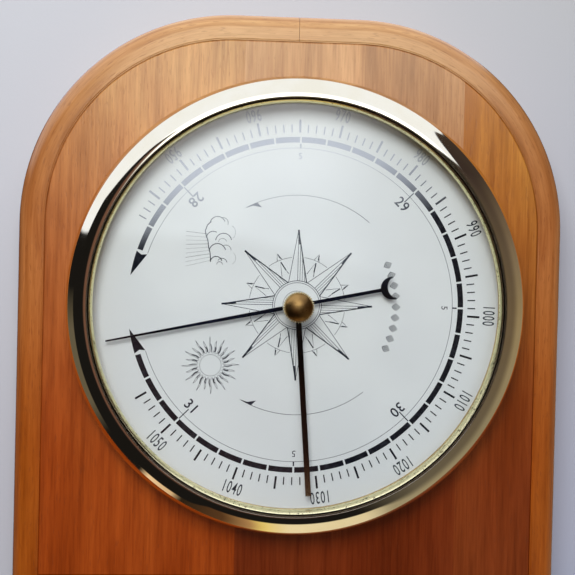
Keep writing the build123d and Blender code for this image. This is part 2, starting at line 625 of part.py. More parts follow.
def diaphragm(direction):
    """Corrugated capsule half: 1 for the upper one, -1 for the lower one."""
    middle = CAPSULE_LEVEL + CAPSULE_HEIGHT / 2
    crown = CAPSULE_HEIGHT / 2
    wave_start = CAPSULE_RADIUS - CAPSULE_WAVE_EDGE
    pitch = (wave_start - CAPSULE_BOSS_RADIUS) / (2 * CORRUGATIONS + 1)
    skin = [(CAPSULE_RADIUS, CAPSULE_SHEET), (CAPSULE_RADIUS - CAPSULE_RIM, CAPSULE_SHEET)]
    for i in range(2 * CORRUGATIONS + 1):
        height = crown if i % 2 == 0 else crown - CORRUGATION_DEPTH
        skin.append((wave_start - pitch * i, height - CORRUGATION_DEPTH / 2))
    skin += [(CAPSULE_BOSS_RADIUS, crown), (0, crown)]
    inside = [(r, h - CAPSULE_SHEET) for r, h in reversed(skin)]
    profile = [(r, middle + direction * h) for r, h in skin + inside]
    return Pos(CAPSULE_X, 0, 0) * turned(profile)


def make_capsule():
    lower = diaphragm(-1)
    lower = lower + rod(CAPSULE_STUD_RADIUS, PLATE_LEVEL, CAPSULE_LEVEL + CAPSULE_SHEET / 2, CAPSULE_X)
    post = rod(POST_RADIUS, CAPSULE_TOP, SPRING_TOP, CAPSULE_X)
    post = post + rod(POST_HEAD_RADIUS, SPRING_TOP, SPRING_TOP + POST_HEAD, CAPSULE_X)
    return lower, diaphragm(1), post


def make_base_plate():
    plate = rod(BASE_PLATE_RADIUS, FLOOR_LEVEL, PLATE_LEVEL, BASE_PLATE_OFFSET)
    plate = plate - rod(ADJUSTER_RADIUS + RUNNING_FIT, FLOOR_LEVEL, PLATE_LEVEL, CAPSULE_X)
    for x, y in movement_screw_places():
        plate = plate - rod(MOVEMENT_SCREW_RADIUS + SCREW_FIT, FLOOR_LEVEL, PLATE_LEVEL, x, y)
    return plate


def make_movement_screws():
    """Screws through the pot's floor from behind, up to the top of the base plate."""
    length = PLATE_LEVEL + POT_DEPTH
    fixing = screw(MOVEMENT_SCREW_RADIUS, length, MOVEMENT_SCREW_HEAD_RADIUS, MOVEMENT_SCREW_HEAD)
    return [Pos(x, y, -POT_DEPTH) * Rot(180, 0, 0) * fixing for x, y in movement_screw_places()]


def make_bridges():
    """Two bridge plates on pillars and spacers, held by a screw at each end."""
    sides = (-PILLAR_SPACING / 2, PILLAR_SPACING / 2)
    hole = BRIDGE_SCREW_RADIUS + SCREW_FIT
    screw_end = LOWER_BRIDGE_LEVEL - BRIDGE_SCREW_GRIP
    length = UPPER_BRIDGE_TOP - screw_end
    strip = Rectangle(BRIDGE_WIDTH, PILLAR_SPACING + 2 * BRIDGE_END)
    strip = extrude(fillet(strip.vertices(), BRIDGE_CORNER), amount=BRIDGE_THICKNESS)
    lower = Pos(0, 0, LOWER_BRIDGE_LEVEL) * strip
    upper = Pos(0, 0, UPPER_BRIDGE_LEVEL) * strip
    lower = lower - rod(ARBOR_PIVOT_RADIUS + RUNNING_FIT, LOWER_BRIDGE_LEVEL, LOWER_BRIDGE_TOP)
    upper = upper - rod(ARBOR_RADIUS + RUNNING_FIT, UPPER_BRIDGE_LEVEL, UPPER_BRIDGE_TOP)
    pillars, spacers, screws = [], [], []
    for y in sides:
        lower = lower - rod(hole, LOWER_BRIDGE_LEVEL, LOWER_BRIDGE_TOP, 0, y)
        upper = upper - rod(hole, UPPER_BRIDGE_LEVEL, UPPER_BRIDGE_TOP, 0, y)
        pillar = rod(PILLAR_RADIUS, PLATE_LEVEL, LOWER_BRIDGE_LEVEL, 0, y)
        pillars.append(pillar - rod(hole, screw_end - RUN_GAP, LOWER_BRIDGE_LEVEL, 0, y))
        spacers.append(tube(PILLAR_RADIUS, hole, LOWER_BRIDGE_TOP, UPPER_BRIDGE_LEVEL, 0, y))
        fixing = screw(BRIDGE_SCREW_RADIUS, length, PILLAR_RADIUS, BRIDGE_SCREW_HEAD)
        screws.append(Pos(0, y, UPPER_BRIDGE_TOP) * fixing)
    return lower, upper, pillars, spacers, screws


def make_spring():
    """Leaf spring screwed to a cast bridge; it pulls the capsule open through the post."""
    bridge_low = PLATE_LEVEL
    half = SPRING_ROOT_WIDTH / 2
    bridge = block((SPRING_ROOT_X, SPRING_FLEX_X), (-half, half), (bridge_low, SPRING_LEVEL))
    end = SPRING_END_WIDTH / 2
    leaf = prism(
        [(SPRING_ROOT_X, -half), (SPRING_FLEX_X, -half), (SPRING_END_X, -end), (SPRING_END_X, end),
         (SPRING_FLEX_X, half), (SPRING_ROOT_X, half)],
        SPRING_LEVEL, SPRING_TOP,
    )
    leaf = leaf - rod(POST_RADIUS + SCREW_FIT, SPRING_LEVEL, SPRING_TOP, CAPSULE_X)
    screw_x = (SPRING_ROOT_X + SPRING_FLEX_X) / 2
    hole = SPRING_SCREW_RADIUS + SCREW_FIT
    screws = []
    for y in (-SPRING_SCREW_SPACING / 2, SPRING_SCREW_SPACING / 2):
        leaf = leaf - rod(hole, SPRING_LEVEL, SPRING_TOP, screw_x, y)
        bridge = bridge - rod(hole, SPRING_LEVEL - SPRING_SCREW_GRIP - RUN_GAP, SPRING_LEVEL, screw_x, y)
        length = SPRING_THICKNESS + SPRING_SCREW_GRIP
        fixing = screw(SPRING_SCREW_RADIUS, length, SPRING_SCREW_HEAD_RADIUS, SPRING_SCREW_HEAD)
        screws.append(Pos(screw_x, y, SPRING_TOP) * fixing)
    return bridge, leaf, screws


def cross_rod(radius, low_y, high_y, x, z):
    """Cylinder along Y."""
    return Pos(x, (low_y + high_y) / 2, z) * Rot(90, 0, 0) * Cylinder(radius, high_y - low_y)


def make_lever():
    """Main lever under the leaf's end; its tip carries the upper pin of the link."""
    pad_x = SPRING_END_X - LEVER_START
    start = (pad_x, 0, SPRING_LEVEL - LEVER_THICKNESS / 2)
    end = (LINK_X, LEVER_TIP_Y, LINK_HIGH)
    reach_xy = hypot(end[0] - start[0], end[1] - start[1])
    heading = degrees(atan2(end[1] - start[1], end[0] - start[0]))
    dip = degrees(atan2(start[2] - end[2], reach_xy))
    length = hypot(reach_xy, start[2] - end[2])
    bar = Box(length, LEVER_WIDTH, LEVER_THICKNESS)
    bar = Pos(*start) * Rot(0, 0, heading) * Rot(0, dip, 0) * Pos(length / 2, 0, 0) * bar
    half = SPRING_END_WIDTH / 2
    pad_low = SPRING_LEVEL - LEVER_THICKNESS
    pad = block((SPRING_END_X - LEVER_PAD_LENGTH, SPRING_END_X), (-half, half), (pad_low, SPRING_LEVEL))
    eye_near = LEVER_TIP_Y - LEVER_WIDTH / 2
    eye = cross_rod(LEVER_EYE_RADIUS, eye_near, LEVER_TIP_Y + LEVER_WIDTH / 2, LINK_X, LINK_HIGH)
    pin_end = eye_near - LINK_THICKNESS - 2 * RUN_GAP
    pin = cross_rod(LINK_PIN_RADIUS, pin_end, LEVER_TIP_Y, LINK_X, LINK_HIGH)
    return bar + pad + eye + pin


def make_link():
    """Short link that hangs from the lever's pin and holds the rocker's pin, with play at both."""
    near = LEVER_TIP_Y - LEVER_WIDTH / 2 - RUN_GAP
    far = near - LINK_THICKNESS
    half = LINK_WIDTH / 2
    link = block((LINK_X - half, LINK_X + half), (far, near), (LINK_LOW, LINK_HIGH))
    for level in (LINK_LOW, LINK_HIGH):
        link = link + cross_rod(half, far, near, LINK_X, level)
    for level in (LINK_LOW, LINK_HIGH):
        link = link - cross_rod(LINK_PIN_RADIUS + LINK_PIN_PLAY, far, near, LINK_X, level)
    return link


def make_rocker():
    """Rocker shaft at rest, with the long arm for the chain and the short arm for the link."""
    half_span = ROCKER_BEARING_SPAN / 2
    end = half_span + ROCKER_BEARING_THICKNESS + RUN_GAP
    shaft = cross_rod(ROCKER_SHAFT_RADIUS, -half_span + RUN_GAP, half_span - RUN_GAP, 0, 0)
    shaft = shaft + cross_rod(ROCKER_JOURNAL_RADIUS, -end, end, 0, 0)
    arm_y = (CHAIN_Y - ROCKER_ARM_THICKNESS / 2, CHAIN_Y + ROCKER_ARM_THICKNESS / 2)
    half = ROCKER_ARM_WIDTH / 2
    arm = block((-half, half), arm_y, (0, ROCKER_ARM))
    arm = arm + cross_rod(half, *arm_y, 0, ROCKER_ARM) + cross_rod(2 * half, *arm_y, 0, 0)
    short_near = LEVER_TIP_Y - LEVER_WIDTH / 2 - 2 * RUN_GAP - LINK_THICKNESS
    short_y = (short_near - ROCKER_ARM_THICKNESS, short_near)
    short = block((0, ROCKER_SHORT_ARM), short_y, (-half, half))
    short = short + cross_rod(half, *short_y, ROCKER_SHORT_ARM, 0) + cross_rod(2 * half, *short_y, 0, 0)
    pin_end = short_near + LINK_THICKNESS + 2 * RUN_GAP
    pin = cross_rod(LINK_PIN_RADIUS, short_near, pin_end, ROCKER_SHORT_ARM, 0)
    rocker = shaft + arm + short + pin
    return Pos(ROCKER_X, 0, ROCKER_LEVEL) * Rot(0, ROCKER_REST_TILT, 0) * rocker


def make_rocker_bearings():
    """Two upright lugs on the base plate that hold the rocker's journals."""
    lugs = []
    half = ROCKER_BEARING_WIDTH / 2
    for side in (-1, 1):
        near = side * ROCKER_BEARING_SPAN / 2
        far = near + side * ROCKER_BEARING_THICKNESS
        y_span = (min(near, far), max(near, far))
        lug = block((ROCKER_X - half, ROCKER_X + half), y_span, (PLATE_LEVEL, ROCKER_LEVEL))
        lug = lug + cross_rod(half, *y_span, ROCKER_X, ROCKER_LEVEL)
        lugs.append(lug - cross_rod(ROCKER_JOURNAL_RADIUS + RUNNING_FIT, *y_span, ROCKER_X, ROCKER_LEVEL))
    return lugs


def make_chain():
    """Fine bead chain from the rocker's long arm to the drum, pulled straight."""
    tilt = radians(ROCKER_REST_TILT)
    arm_x = ROCKER_X + ROCKER_ARM * sin(tilt) - ROCKER_ARM_WIDTH / 2 - CHAIN_BEAD_RADIUS - PRESS_LINE
    arm_z = ROCKER_LEVEL + ROCKER_ARM * cos(tilt)
    drum = (0, CHAIN_Y, DRUM_LEVEL + DRUM_LENGTH / 2)
    arm = (arm_x, CHAIN_Y, arm_z)
    span = [b - a for a, b in zip(drum, arm)]
    length = hypot(*span)
    plane = Plane(origin=drum, z_dir=tuple(span))
    wire = Pos(0, 0, length / 2) * Cylinder(CHAIN_WIRE_RADIUS, length)
    count = round(length / CHAIN_PITCH)
    beads = [Pos(0, 0, length / count * i) * Sphere(CHAIN_BEAD_RADIUS) for i in range(count + 1)]
    return plane.location * (wire + beads)


def make_adjuster():
    """Slotted screw through the pot's floor and base plate, bearing on the capsule's stud."""
    length = PLATE_LEVEL + POT_DEPTH - ADJUSTER_END_GAP + SEAT_GAP
    fixing = screw(ADJUSTER_RADIUS, length, ADJUSTER_HEAD_RADIUS, ADJUSTER_HEAD)
    return Pos(CAPSULE_X, 0, -POT_DEPTH - SEAT_GAP) * Rot(180, 0, 0) * fixing


# ---- assembly ----

nodes = {}
nodes["rim_left"], nodes["rim_right"], nodes["rim_foot"] = make_rim()
staves = make_staves()
nodes["stave_left"], nodes["stave_centre_upper"], nodes["stave_centre_lower"], nodes["stave_right"] = staves
nodes["hanger_plate"], nodes["hanger_screws"] = make_hanger()

nodes["case_pot"] = place(make_pot())
nodes["retaining_clips"], nodes["clip_rivets"] = make_clips()
nodes["bezel"] = place(make_bezel())
nodes["dial_plate"] = place(tube(DIAL_RADIUS, DIAL_HOLE_RADIUS, FLANGE_LEVEL, DIAL_LEVEL))
seat_inner = GLASS_SEAT_RADIUS - GLASS_SEAT_WALL
nodes["glass_seat"] = place(tube(GLASS_SEAT_RADIUS, seat_inner, DIAL_LEVEL, GLASS_LEVEL))
nodes["glass"] = place(tube(GLASS_RADIUS, BUSH_RADIUS + SCREW_FIT, GLASS_LEVEL, GLASS_TOP))
nodes["glass_bush"], nodes["bush_nut"] = make_bush()
knob, spindle_top = make_knob()
nodes["set_knob"] = place(knob)
nodes["set_spindle"] = place(rod(SPINDLE_RADIUS, SET_HUB_LEVEL, spindle_top))
nodes["set_hand"] = place(make_set_hand())

nodes["pointer_hand"] = place(make_pointer())
nodes["pointer_arbor"] = place(make_arbor())
hairspring, hairspring_end = make_hairspring()
nodes["hairspring"] = place(hairspring)
stud_top = HAIRSPRING_LEVEL + HAIRSPRING_HEIGHT
stud_y = hairspring_end + HAIRSPRING_WIRE + STUD_RADIUS + PRESS_LINE
nodes["hairspring_stud"] = place(rod(STUD_RADIUS, LOWER_BRIDGE_TOP, stud_top, 0, stud_y))
nodes["chain"] = place(make_chain())

nodes["base_plate"] = place(make_base_plate())
nodes["movement_screws"] = place(*make_movement_screws())
lower_bridge, upper_bridge, pillars, spacers, bridge_screws = make_bridges()
nodes["lower_bridge"] = place(lower_bridge)
nodes["upper_bridge"] = place(upper_bridge)
nodes["bridge_pillars"] = place(*pillars)
nodes["bridge_spacers"] = place(*spacers)
nodes["bridge_screws"] = place(*bridge_screws)
capsule_lower, capsule_upper, capsule_post = make_capsule()
nodes["capsule_lower"] = place(capsule_lower)
nodes["capsule_upper"] = place(capsule_upper)
nodes["capsule_post"] = place(capsule_post)
spring_bridge, leaf_spring, spring_screws = make_spring()
nodes["spring_bridge"] = place(spring_bridge)
nodes["main_spring"] = place(leaf_spring)
nodes["spring_screws"] = place(*spring_screws)
nodes["main_lever"] = place(make_lever())
nodes["link_rod"] = place(make_link())
nodes["rocker"] = place(make_rocker())
nodes["rocker_bearings"] = place(*make_rocker_bearings())
nodes["adjusting_screw"] = place(make_adjuster())

os.makedirs("parts", exist_ok=True)
for name, shape in nodes.items():
    export_step(shape, f"parts/{name}.step")
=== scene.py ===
import bpy
from math import cos, pi, radians, sin
from mathutils import Matrix, Vector


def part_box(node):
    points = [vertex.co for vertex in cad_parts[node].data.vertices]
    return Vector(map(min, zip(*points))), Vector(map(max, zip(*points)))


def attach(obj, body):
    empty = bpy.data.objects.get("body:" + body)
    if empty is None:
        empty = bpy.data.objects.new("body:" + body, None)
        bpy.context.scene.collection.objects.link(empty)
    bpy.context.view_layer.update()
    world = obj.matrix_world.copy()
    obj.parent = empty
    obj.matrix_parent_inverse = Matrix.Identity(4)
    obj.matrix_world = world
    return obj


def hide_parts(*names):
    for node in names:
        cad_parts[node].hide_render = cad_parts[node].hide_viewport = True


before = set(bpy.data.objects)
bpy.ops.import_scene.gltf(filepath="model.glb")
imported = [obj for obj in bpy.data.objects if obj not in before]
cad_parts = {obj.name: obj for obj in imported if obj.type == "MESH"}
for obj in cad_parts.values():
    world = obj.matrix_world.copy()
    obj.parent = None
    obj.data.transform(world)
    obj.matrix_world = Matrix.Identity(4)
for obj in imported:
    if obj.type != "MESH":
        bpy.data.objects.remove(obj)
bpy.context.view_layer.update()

# ---- viewer ----
# The barometer hangs at about eye height, and is seen from close by, a little from the left
# and from above the middle of its dial, through a slightly shifted portrait lens.
LENS = 55.97
SHIFT_X, SHIFT_Y = -0.0165, -0.0670
DIAL_TO_EYE = (-0.0151, -0.260, 0.0190)
YAW, PITCH, ROLL = -3.26, -0.61, 1.34

dial_low, dial_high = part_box("dial_plate")
front_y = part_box("stave_left")[0].y
dial_middle = Vector(((dial_low.x + dial_high.x) / 2, front_y, (dial_low.z + dial_high.z) / 2))
bpy.ops.object.camera_add()
camera = bpy.context.object
camera.data.lens = LENS
camera.data.shift_x = SHIFT_X
camera.data.shift_y = SHIFT_Y
eye = Matrix.Translation(dial_middle + Vector(DIAL_TO_EYE))
level = Matrix.Rotation(radians(90), 4, "X") @ Matrix.Rotation(radians(YAW), 4, "Y")
aim = Matrix.Rotation(radians(PITCH), 4, "X") @ Matrix.Rotation(radians(ROLL), 4, "Z")
camera.matrix_world = eye @ level @ aim
bpy.context.scene.camera = camera
bpy.context.scene.view_settings.view_transform = "Standard"

# ---- wall ----
# A plain plastered wall, painted a pale cool grey, that the plaque hangs flat against.
# Its grey is painted lighter towards the window at the upper left and darker and bluer to the lower
# right: painted light and shade. Seen from behind it isn't there.
WALL_SIZE = 3.0
WALL_Y = 0.0006
NEAR_THE_WALL = 0.004


def colour(red, green, blue):
    """A colour as a paint chart gives it, from 0 to 255, made linear."""
    shares = [value / 255 for value in (red, green, blue)]
    return (*[s / 12.92 if s <= 0.04045 else ((s + 0.055) / 1.055) ** 2.4 for s in shares], 1.0)


def add(tree, kind, sockets=(), **settings):
    """One more node. Sockets pairs an input with a value or with the output that feeds it."""
    made = tree.nodes.new("ShaderNode" + kind)
    for name, value in settings.items():
        setattr(made, name, value)
    for key, value in dict(sockets).items():
        if isinstance(value, bpy.types.NodeSocket):
            tree.links.new(value, made.inputs[key])
        else:
            made.inputs[key].default_value = value
    return made


def calc(tree, operation, first, second=0.0, third=0.0):
    return add(tree, "Math", {0: first, 1: second, 2: third}, operation=operation).outputs[0]


def share(tree, value, low, high, kind="SMOOTHSTEP"):
    """Where a value stands between two limits, from 0 to 1."""
    sockets = {"Value": value, "From Min": low, "From Max": high}
    return add(tree, "MapRange", sockets, interpolation_type=kind).outputs[0]


def mix(tree, factor, first, second, blend="MIX"):
    sockets = {0: factor, 6: first, 7: second}
    return add(tree, "Mix", sockets, data_type="RGBA", blend_type=blend).outputs[2]


def ramp(tree, value, *stops):
    """A colour ramp from (place, colour) stops."""
    made = add(tree, "ValToRGB", {0: value})
    band = made.color_ramp
    while len(band.elements) < len(stops):
        band.elements.new(0.5)
    for element, (place, tone) in zip(band.elements, stops):
        element.position = place
        element.color = tone
    return made.outputs[0]


bpy.ops.object.select_all(action="DESELECT")
bpy.ops.mesh.primitive_plane_add(
    size=WALL_SIZE, location=(0, WALL_Y, dial_middle.z), rotation=(radians(90), 0, 0),
)
wall = bpy.context.object
wall.name = "wall"
wall_paint = bpy.data.materials.new("wall_paint")
wall_paint.use_nodes = True
tree = wall_paint.node_tree
tree.nodes.clear()
place = add(tree, "TexCoord").outputs["Object"]
axes = add(tree, "SeparateXYZ", {0: place})
to_the_right = share(tree, axes.outputs["X"], -0.1, 0.1, "LINEAR")
upwards = share(tree, axes.outputs["Y"], -0.09, 0.1, "LINEAR")
# Painted light: the grey is graded by place, lighter at the upper left and darker at the lower
# right.
lower_painted_light_tone = mix(tree, to_the_right, colour(199, 200, 204), colour(186, 191, 208))
upper_painted_light_tone = mix(tree, to_the_right, colour(203, 205, 208), colour(192, 193, 193))
grey_with_painted_light = mix(tree, upwards, lower_painted_light_tone, upper_painted_light_tone)
plaster = add(tree, "TexNoise", {"Vector": place, "Scale": 900, "Detail": 2})
relief = add(tree, "Bump", {"Strength": 0.1, "Distance": 0.0002, "Height": plaster.outputs[0]})
matt = add(tree, "BsdfDiffuse", {0: grey_with_painted_light, "Normal": relief.outputs[0]})
seen_from_behind = add(tree, "NewGeometry").outputs["Backfacing"]
path = add(tree, "LightPath")
just_behind_the_plaque = calc(tree, "LESS_THAN", path.outputs["Ray Length"], NEAR_THE_WALL)
open_air = calc(tree, "MAXIMUM", seen_from_behind, just_behind_the_plaque)
open_air = calc(tree, "MAXIMUM", open_air, path.outputs["Is Glossy Ray"])
nothing = add(tree, "BsdfTransparent").outputs[0]
surface = add(tree, "MixShader", {0: open_air, 1: matt.outputs[0], 2: nothing})
add(tree, "OutputMaterial", {0: surface.outputs[0]})
wall.data.materials.append(wall_paint)

# ---- room and daylight ----
# Daylight from a large window at the upper left. The room on the other sides is dim, with a
# warm floor below and pale walls to the right, which shows in the brass, the glass and the varnish.
SOFT_EDGE = 0.012
DIAL_TO_LAMP = (-0.05, -0.30, 0.17)
LAMP_SIZE = 0.15
LAMP_POWER = 0.84

world = bpy.data.worlds.new("room")
bpy.context.scene.world = world
world.use_nodes = True
tree = world.node_tree
tree.nodes.clear()
way = add(tree, "SeparateXYZ", {0: add(tree, "TexCoord").outputs["Generated"]})
right, up = way.outputs["X"], way.outputs["Z"]
ahead = calc(tree, "MULTIPLY", way.outputs["Y"], -1.0)

# The room round the dial: from 0 at the left by below, the right and above to 1 at the left again.
round_the_dial = share(tree, calc(tree, "ARCTAN2", up, right), -pi, pi, "LINEAR")
black = (0.010, 0.009, 0.009, 1)
dark = (0.05, 0.035, 0.03, 1)
darker = (0.045, 0.03, 0.028, 1)
dim = (0.13, 0.11, 0.08, 1)
warm = (0.16, 0.08, 0.06, 1)
far_sides = ramp(
    tree, round_the_dial,
    (0.000, black), (0.030, dim), (0.085, dim), (0.110, black), (0.147, black),
    (0.150, (0.90, 0.66, 0.44, 1)), (0.172, (0.72, 0.50, 0.32, 1)), (0.178, (0.02, 0.015, 0.01, 1)),
    (0.212, (0.10, 0.045, 0.02, 1)), (0.230, (0.40, 0.22, 0.10, 1)), (0.240, (0.82, 0.62, 0.20, 1)),
    (0.256, (0.86, 0.74, 0.52, 1)), (0.308, (0.78, 0.68, 0.50, 1)), (0.326, (0.36, 0.31, 0.22, 1)),
    (0.400, (0.27, 0.23, 0.16, 1)), (0.480, (0.31, 0.24, 0.15, 1)), (0.535, (0.19, 0.14, 0.10, 1)),
    (0.590, dark), (0.630, dark), (0.960, black), (1.000, black),
)
near_sides = ramp(
    tree, round_the_dial,
    (0.000, black), (0.310, black), (0.350, (0.13, 0.11, 0.085, 1)),
    (0.480, (0.145, 0.105, 0.07, 1)), (0.530, (0.11, 0.08, 0.06, 1)),
    (0.590, darker), (0.630, darker), (0.940, black), (1.000, black),
)
close_by = ramp(
    tree, round_the_dial,
    (0.000, warm), (0.290, warm), (0.320, black), (0.370, (0.05, 0.04, 0.03, 1)),
    (0.455, (0.08, 0.058, 0.035, 1)), (0.560, (0.03, 0.025, 0.02, 1)), (0.700, black),
    (0.850, black), (0.880, warm), (1.000, warm),
)
by_the_viewer = (0.022, 0.022, 0.024, 1)

# How far ahead the near sides begin to show and show in full, in red and green.
early, late, slowly = (0.20, 0.28, 0, 1), (0.58, 0.66, 0, 1), (0.02, 0.72, 0, 1)
limits = ramp(
    tree, round_the_dial,
    (0.000, early), (0.186, early), (0.202, late), (0.318, late),
    (0.340, slowly), (0.600, slowly), (0.700, early),
)
limits = add(tree, "SeparateColor", {0: limits})
nearer = share(tree, ahead, limits.outputs[0], limits.outputs[1])
sides = mix(tree, nearer, far_sides, near_sides)
sides = mix(tree, share(tree, ahead, 0.91, 0.95), sides, close_by)
sides = mix(tree, share(tree, ahead, 0.984, 0.992), sides, by_the_viewer)

# The sky over a low sill, in a gap beside the viewer, that shows in the glass.
slant = calc(tree, "MULTIPLY", calc(tree, "MAXIMUM", right, 0.0), 0.25)
above_sill = share(tree, calc(tree, "ADD", up, slant), -SOFT_EDGE, SOFT_EDGE)
gap_starts, gap_ends = share(tree, right, -0.22, -0.12), share(tree, right, 0.06, 0.20)
in_gap = calc(tree, "MULTIPLY", above_sill, calc(tree, "SUBTRACT", gap_starts, gap_ends))
straight_on = calc(tree, "MULTIPLY", share(tree, ahead, 0.90, 0.95), in_gap)
low_sky = mix(tree, share(tree, up, 0.02, 0.10), (1.0, 1.08, 1.15, 1), (2.0, 2.1, 2.25, 1))
sky = mix(tree, share(tree, up, 0.10, 0.17), low_sky, (2.6, 2.72, 2.95, 1))
room = mix(tree, straight_on, sides, sky)

# The large window, over its sill and to the left of its jamb.
sill = calc(tree, "MAXIMUM", calc(tree, "MULTIPLY_ADD", right, -0.45, 0.20), 0.05)
sill_end = calc(tree, "MULTIPLY_ADD", right, 1.08, 1.149)
lower_edge = calc(tree, "MINIMUM", calc(tree, "MINIMUM", sill, sill_end), 0.35)
jamb_foot = calc(tree, "MULTIPLY_ADD", right, 2.34, -0.80)
jamb_ahead = calc(tree, "MAXIMUM", jamb_foot, calc(tree, "MULTIPLY", right, 0.66))
jamb_behind = calc(tree, "MULTIPLY", right, 1.04)
between_jambs = calc(tree, "SUBTRACT", jamb_ahead, jamb_behind)
jamb = calc(tree, "MULTIPLY_ADD", between_jambs, share(tree, ahead, -0.2, 0.3), jamb_behind)
side_edge = calc(tree, "MAXIMUM", jamb, calc(tree, "MULTIPLY", right, -0.27))
window_edge = calc(tree, "MAXIMUM", lower_edge, side_edge)
in_window = share(tree, calc(tree, "SUBTRACT", up, window_edge), -SOFT_EDGE, SOFT_EDGE)
pane = mix(tree, share(tree, ahead, 0.86, 0.96), (0.97, 1.02, 1.22, 1), (2.2, 2.32, 2.65, 1))
room = mix(tree, in_window, room, pane)
backdrop = add(tree, "Background", {0: colour(205, 206, 210), 1: 1.0})
air = add(tree, "Background", {0: room, 1: 1.0})
to_viewer = add(tree, "LightPath").outputs["Is Camera Ray"]
seen = add(tree, "MixShader", {0: to_viewer, 1: air.outputs[0], 2: backdrop.outputs[0]})
add(tree, "OutputWorld", {0: seen.outputs[0]})

# A lamp adds the soft shadows. It doesn't show in the brass or the glass.
bpy.ops.object.light_add(type="AREA", location=dial_middle + Vector(DIAL_TO_LAMP))
daylight = bpy.context.object
daylight.name = "daylight"
daylight.data.shape = "SQUARE"
daylight.data.size = LAMP_SIZE
daylight.data.energy = LAMP_POWER
daylight.visible_glossy = False
daylight.visible_transmission = False
daylight.rotation_euler = (dial_middle - daylight.location).to_track_quat("-Z", "Y").to_euler()

# ---- staves ----
# Boards of warm reddish-brown hardwood with upright grain, glued edge to edge, planed flush,
# and finished in clear satin varnish. The right-hand board is a little darker, partly its own
# wood and partly painted shade. Every board pales upwards in a painted sheen of the varnish.
WHITE = (1, 1, 1, 1)
VARNISH_ROUGHNESS = 0.19
VARNISH_IOR = 1.85
VARNISH_GLOSS = (1.0, 0.88, 0.62, 1)
# Heights over which the wood turns from its deep tone to its pale one: a painted sheen towards the
# top.
PAINTED_SHEEN_FROM, PAINTED_SHEEN_TO = -0.125, 0.005


def finish(name):
    """An empty material: its tree and its shader."""
    made = bpy.data.materials.new(name)
    made.use_nodes = True
    return made, made.node_tree, made.node_tree.nodes["Principled BSDF"]


def wear(node, material):
    """Give a CAD node its material."""
    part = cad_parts[node]
    part.data.materials.clear()
    part.data.materials.append(material)


def noise(tree, place, scale, detail=2.0, offset=0.0, distortion=0.0):
    """Noise that is scaled differently across, into and along the grain."""
    sockets = {"Vector": place, "Scale": scale, "Location": (offset, offset, offset)}
    stretched = add(tree, "Mapping", sockets).outputs[0]
    sockets = {"Vector": stretched, "Scale": 1.0, "Detail": detail, "Distortion": distortion}
    return add(tree, "TexNoise", sockets).outputs[0]


def varnished_wood(name, deep, pale, offset, curved=False, flecks=0.25):
    """Fine straight grain under varnish. The tone goes from the deep colour below to the pale one
    at the top: a painted sheen where the light falls.
    """
    made, tree, shader = finish(name)
    spot = add(tree, "TexCoord")
    place = spot.outputs["Object"]
    height = add(tree, "SeparateXYZ", {0: place}).outputs["Z"]
    if curved:
        flat = add(tree, "SeparateXYZ", {0: spot.outputs["UV"]})
        place = add(tree, "CombineXYZ", {0: flat.outputs[0], 2: flat.outputs[1]}).outputs[0]
    bands = noise(tree, place, (70, 30, 4), 2.0, offset, 0.3)
    streaks = noise(tree, place, (620, 300, 26), 3.0, offset + 3.1, 0.2)
    fibres = noise(tree, place, (1900, 900, 110), 2.0, offset + 5.7)
    pores = noise(tree, place, (2600, 1800, 330), 1.0, offset + 8.3)
    blotches = noise(tree, place, (46, 30, 14), 3.0, offset + 1.9, 0.6)
    # Painted sheen: how far up the wood is, which pales it towards the top.
    painted_sheen_share = share(tree, height, PAINTED_SHEEN_FROM, PAINTED_SHEEN_TO, "LINEAR")
    paling_with_painted_light = calc(tree, "POWER", painted_sheen_share, 1.6)
    tone = mix(tree, paling_with_painted_light, deep, pale)
    for pattern, low, shaded, high, lit in (
        (blotches, 0.30, (0.78, 0.66, 0.50, 1), 0.70, (1.16, 1.34, 1.5, 1)),
        (bands, 0.32, (0.84, 0.80, 0.76, 1), 0.68, (1.12, 1.16, 1.2, 1)),
        (streaks, 0.30, (0.80, 0.74, 0.66, 1), 0.72, (1.16, 1.24, 1.3, 1)),
        (fibres, 0.30, (0.86, 0.82, 0.78, 1), 0.75, (1.10, 1.14, 1.18, 1)),
    ):
        figure = ramp(tree, pattern, (low, shaded), (0.5, WHITE), (high, lit))
        tone = mix(tree, 1.0, tone, figure, "MULTIPLY")
    pitted = share(tree, pores, 0.62, 0.72)
    tone = mix(tree, calc(tree, "MULTIPLY", pitted, flecks), tone, colour(104, 50, 26))
    shader.inputs["Roughness"].default_value = VARNISH_ROUGHNESS
    shader.inputs["IOR"].default_value = VARNISH_IOR
    shader.inputs["Specular Tint"].default_value = VARNISH_GLOSS
    surface = calc(tree, "SUBTRACT", fibres, calc(tree, "MULTIPLY", pitted, 0.6))
    relief = add(tree, "Bump", {"Strength": 0.25, "Distance": 0.00004, "Height": surface})
    tree.links.new(tone, shader.inputs["Base Color"])
    tree.links.new(relief.outputs[0], shader.inputs["Normal"])
    return made


left_board = varnished_wood(
    "board_left", deep=(0.37, 0.060, 0.006, 1), pale=(0.47, 0.21, 0.060, 1), offset=0.0,
)
# The middle board's deep tone is darker: partly its own wood, partly painted shadow under the bezel
# at the bottom.
middle_board = varnished_wood(
    "board_middle", deep=(0.20, 0.029, 0.005, 1), pale=(0.52, 0.255, 0.098, 1), offset=2.3,
)
# The right-hand board's deep tone is darker: partly its own wood, partly painted shade away from
# the window.
right_board = varnished_wood(
    "board_right", deep=(0.205, 0.032, 0.005, 1), pale=(0.52, 0.200, 0.028, 1), offset=6.9,
)
wear("stave_left", left_board)
wear("stave_centre_upper", middle_board)
wear("stave_centre_lower", middle_board)
wear("stave_right", right_board)

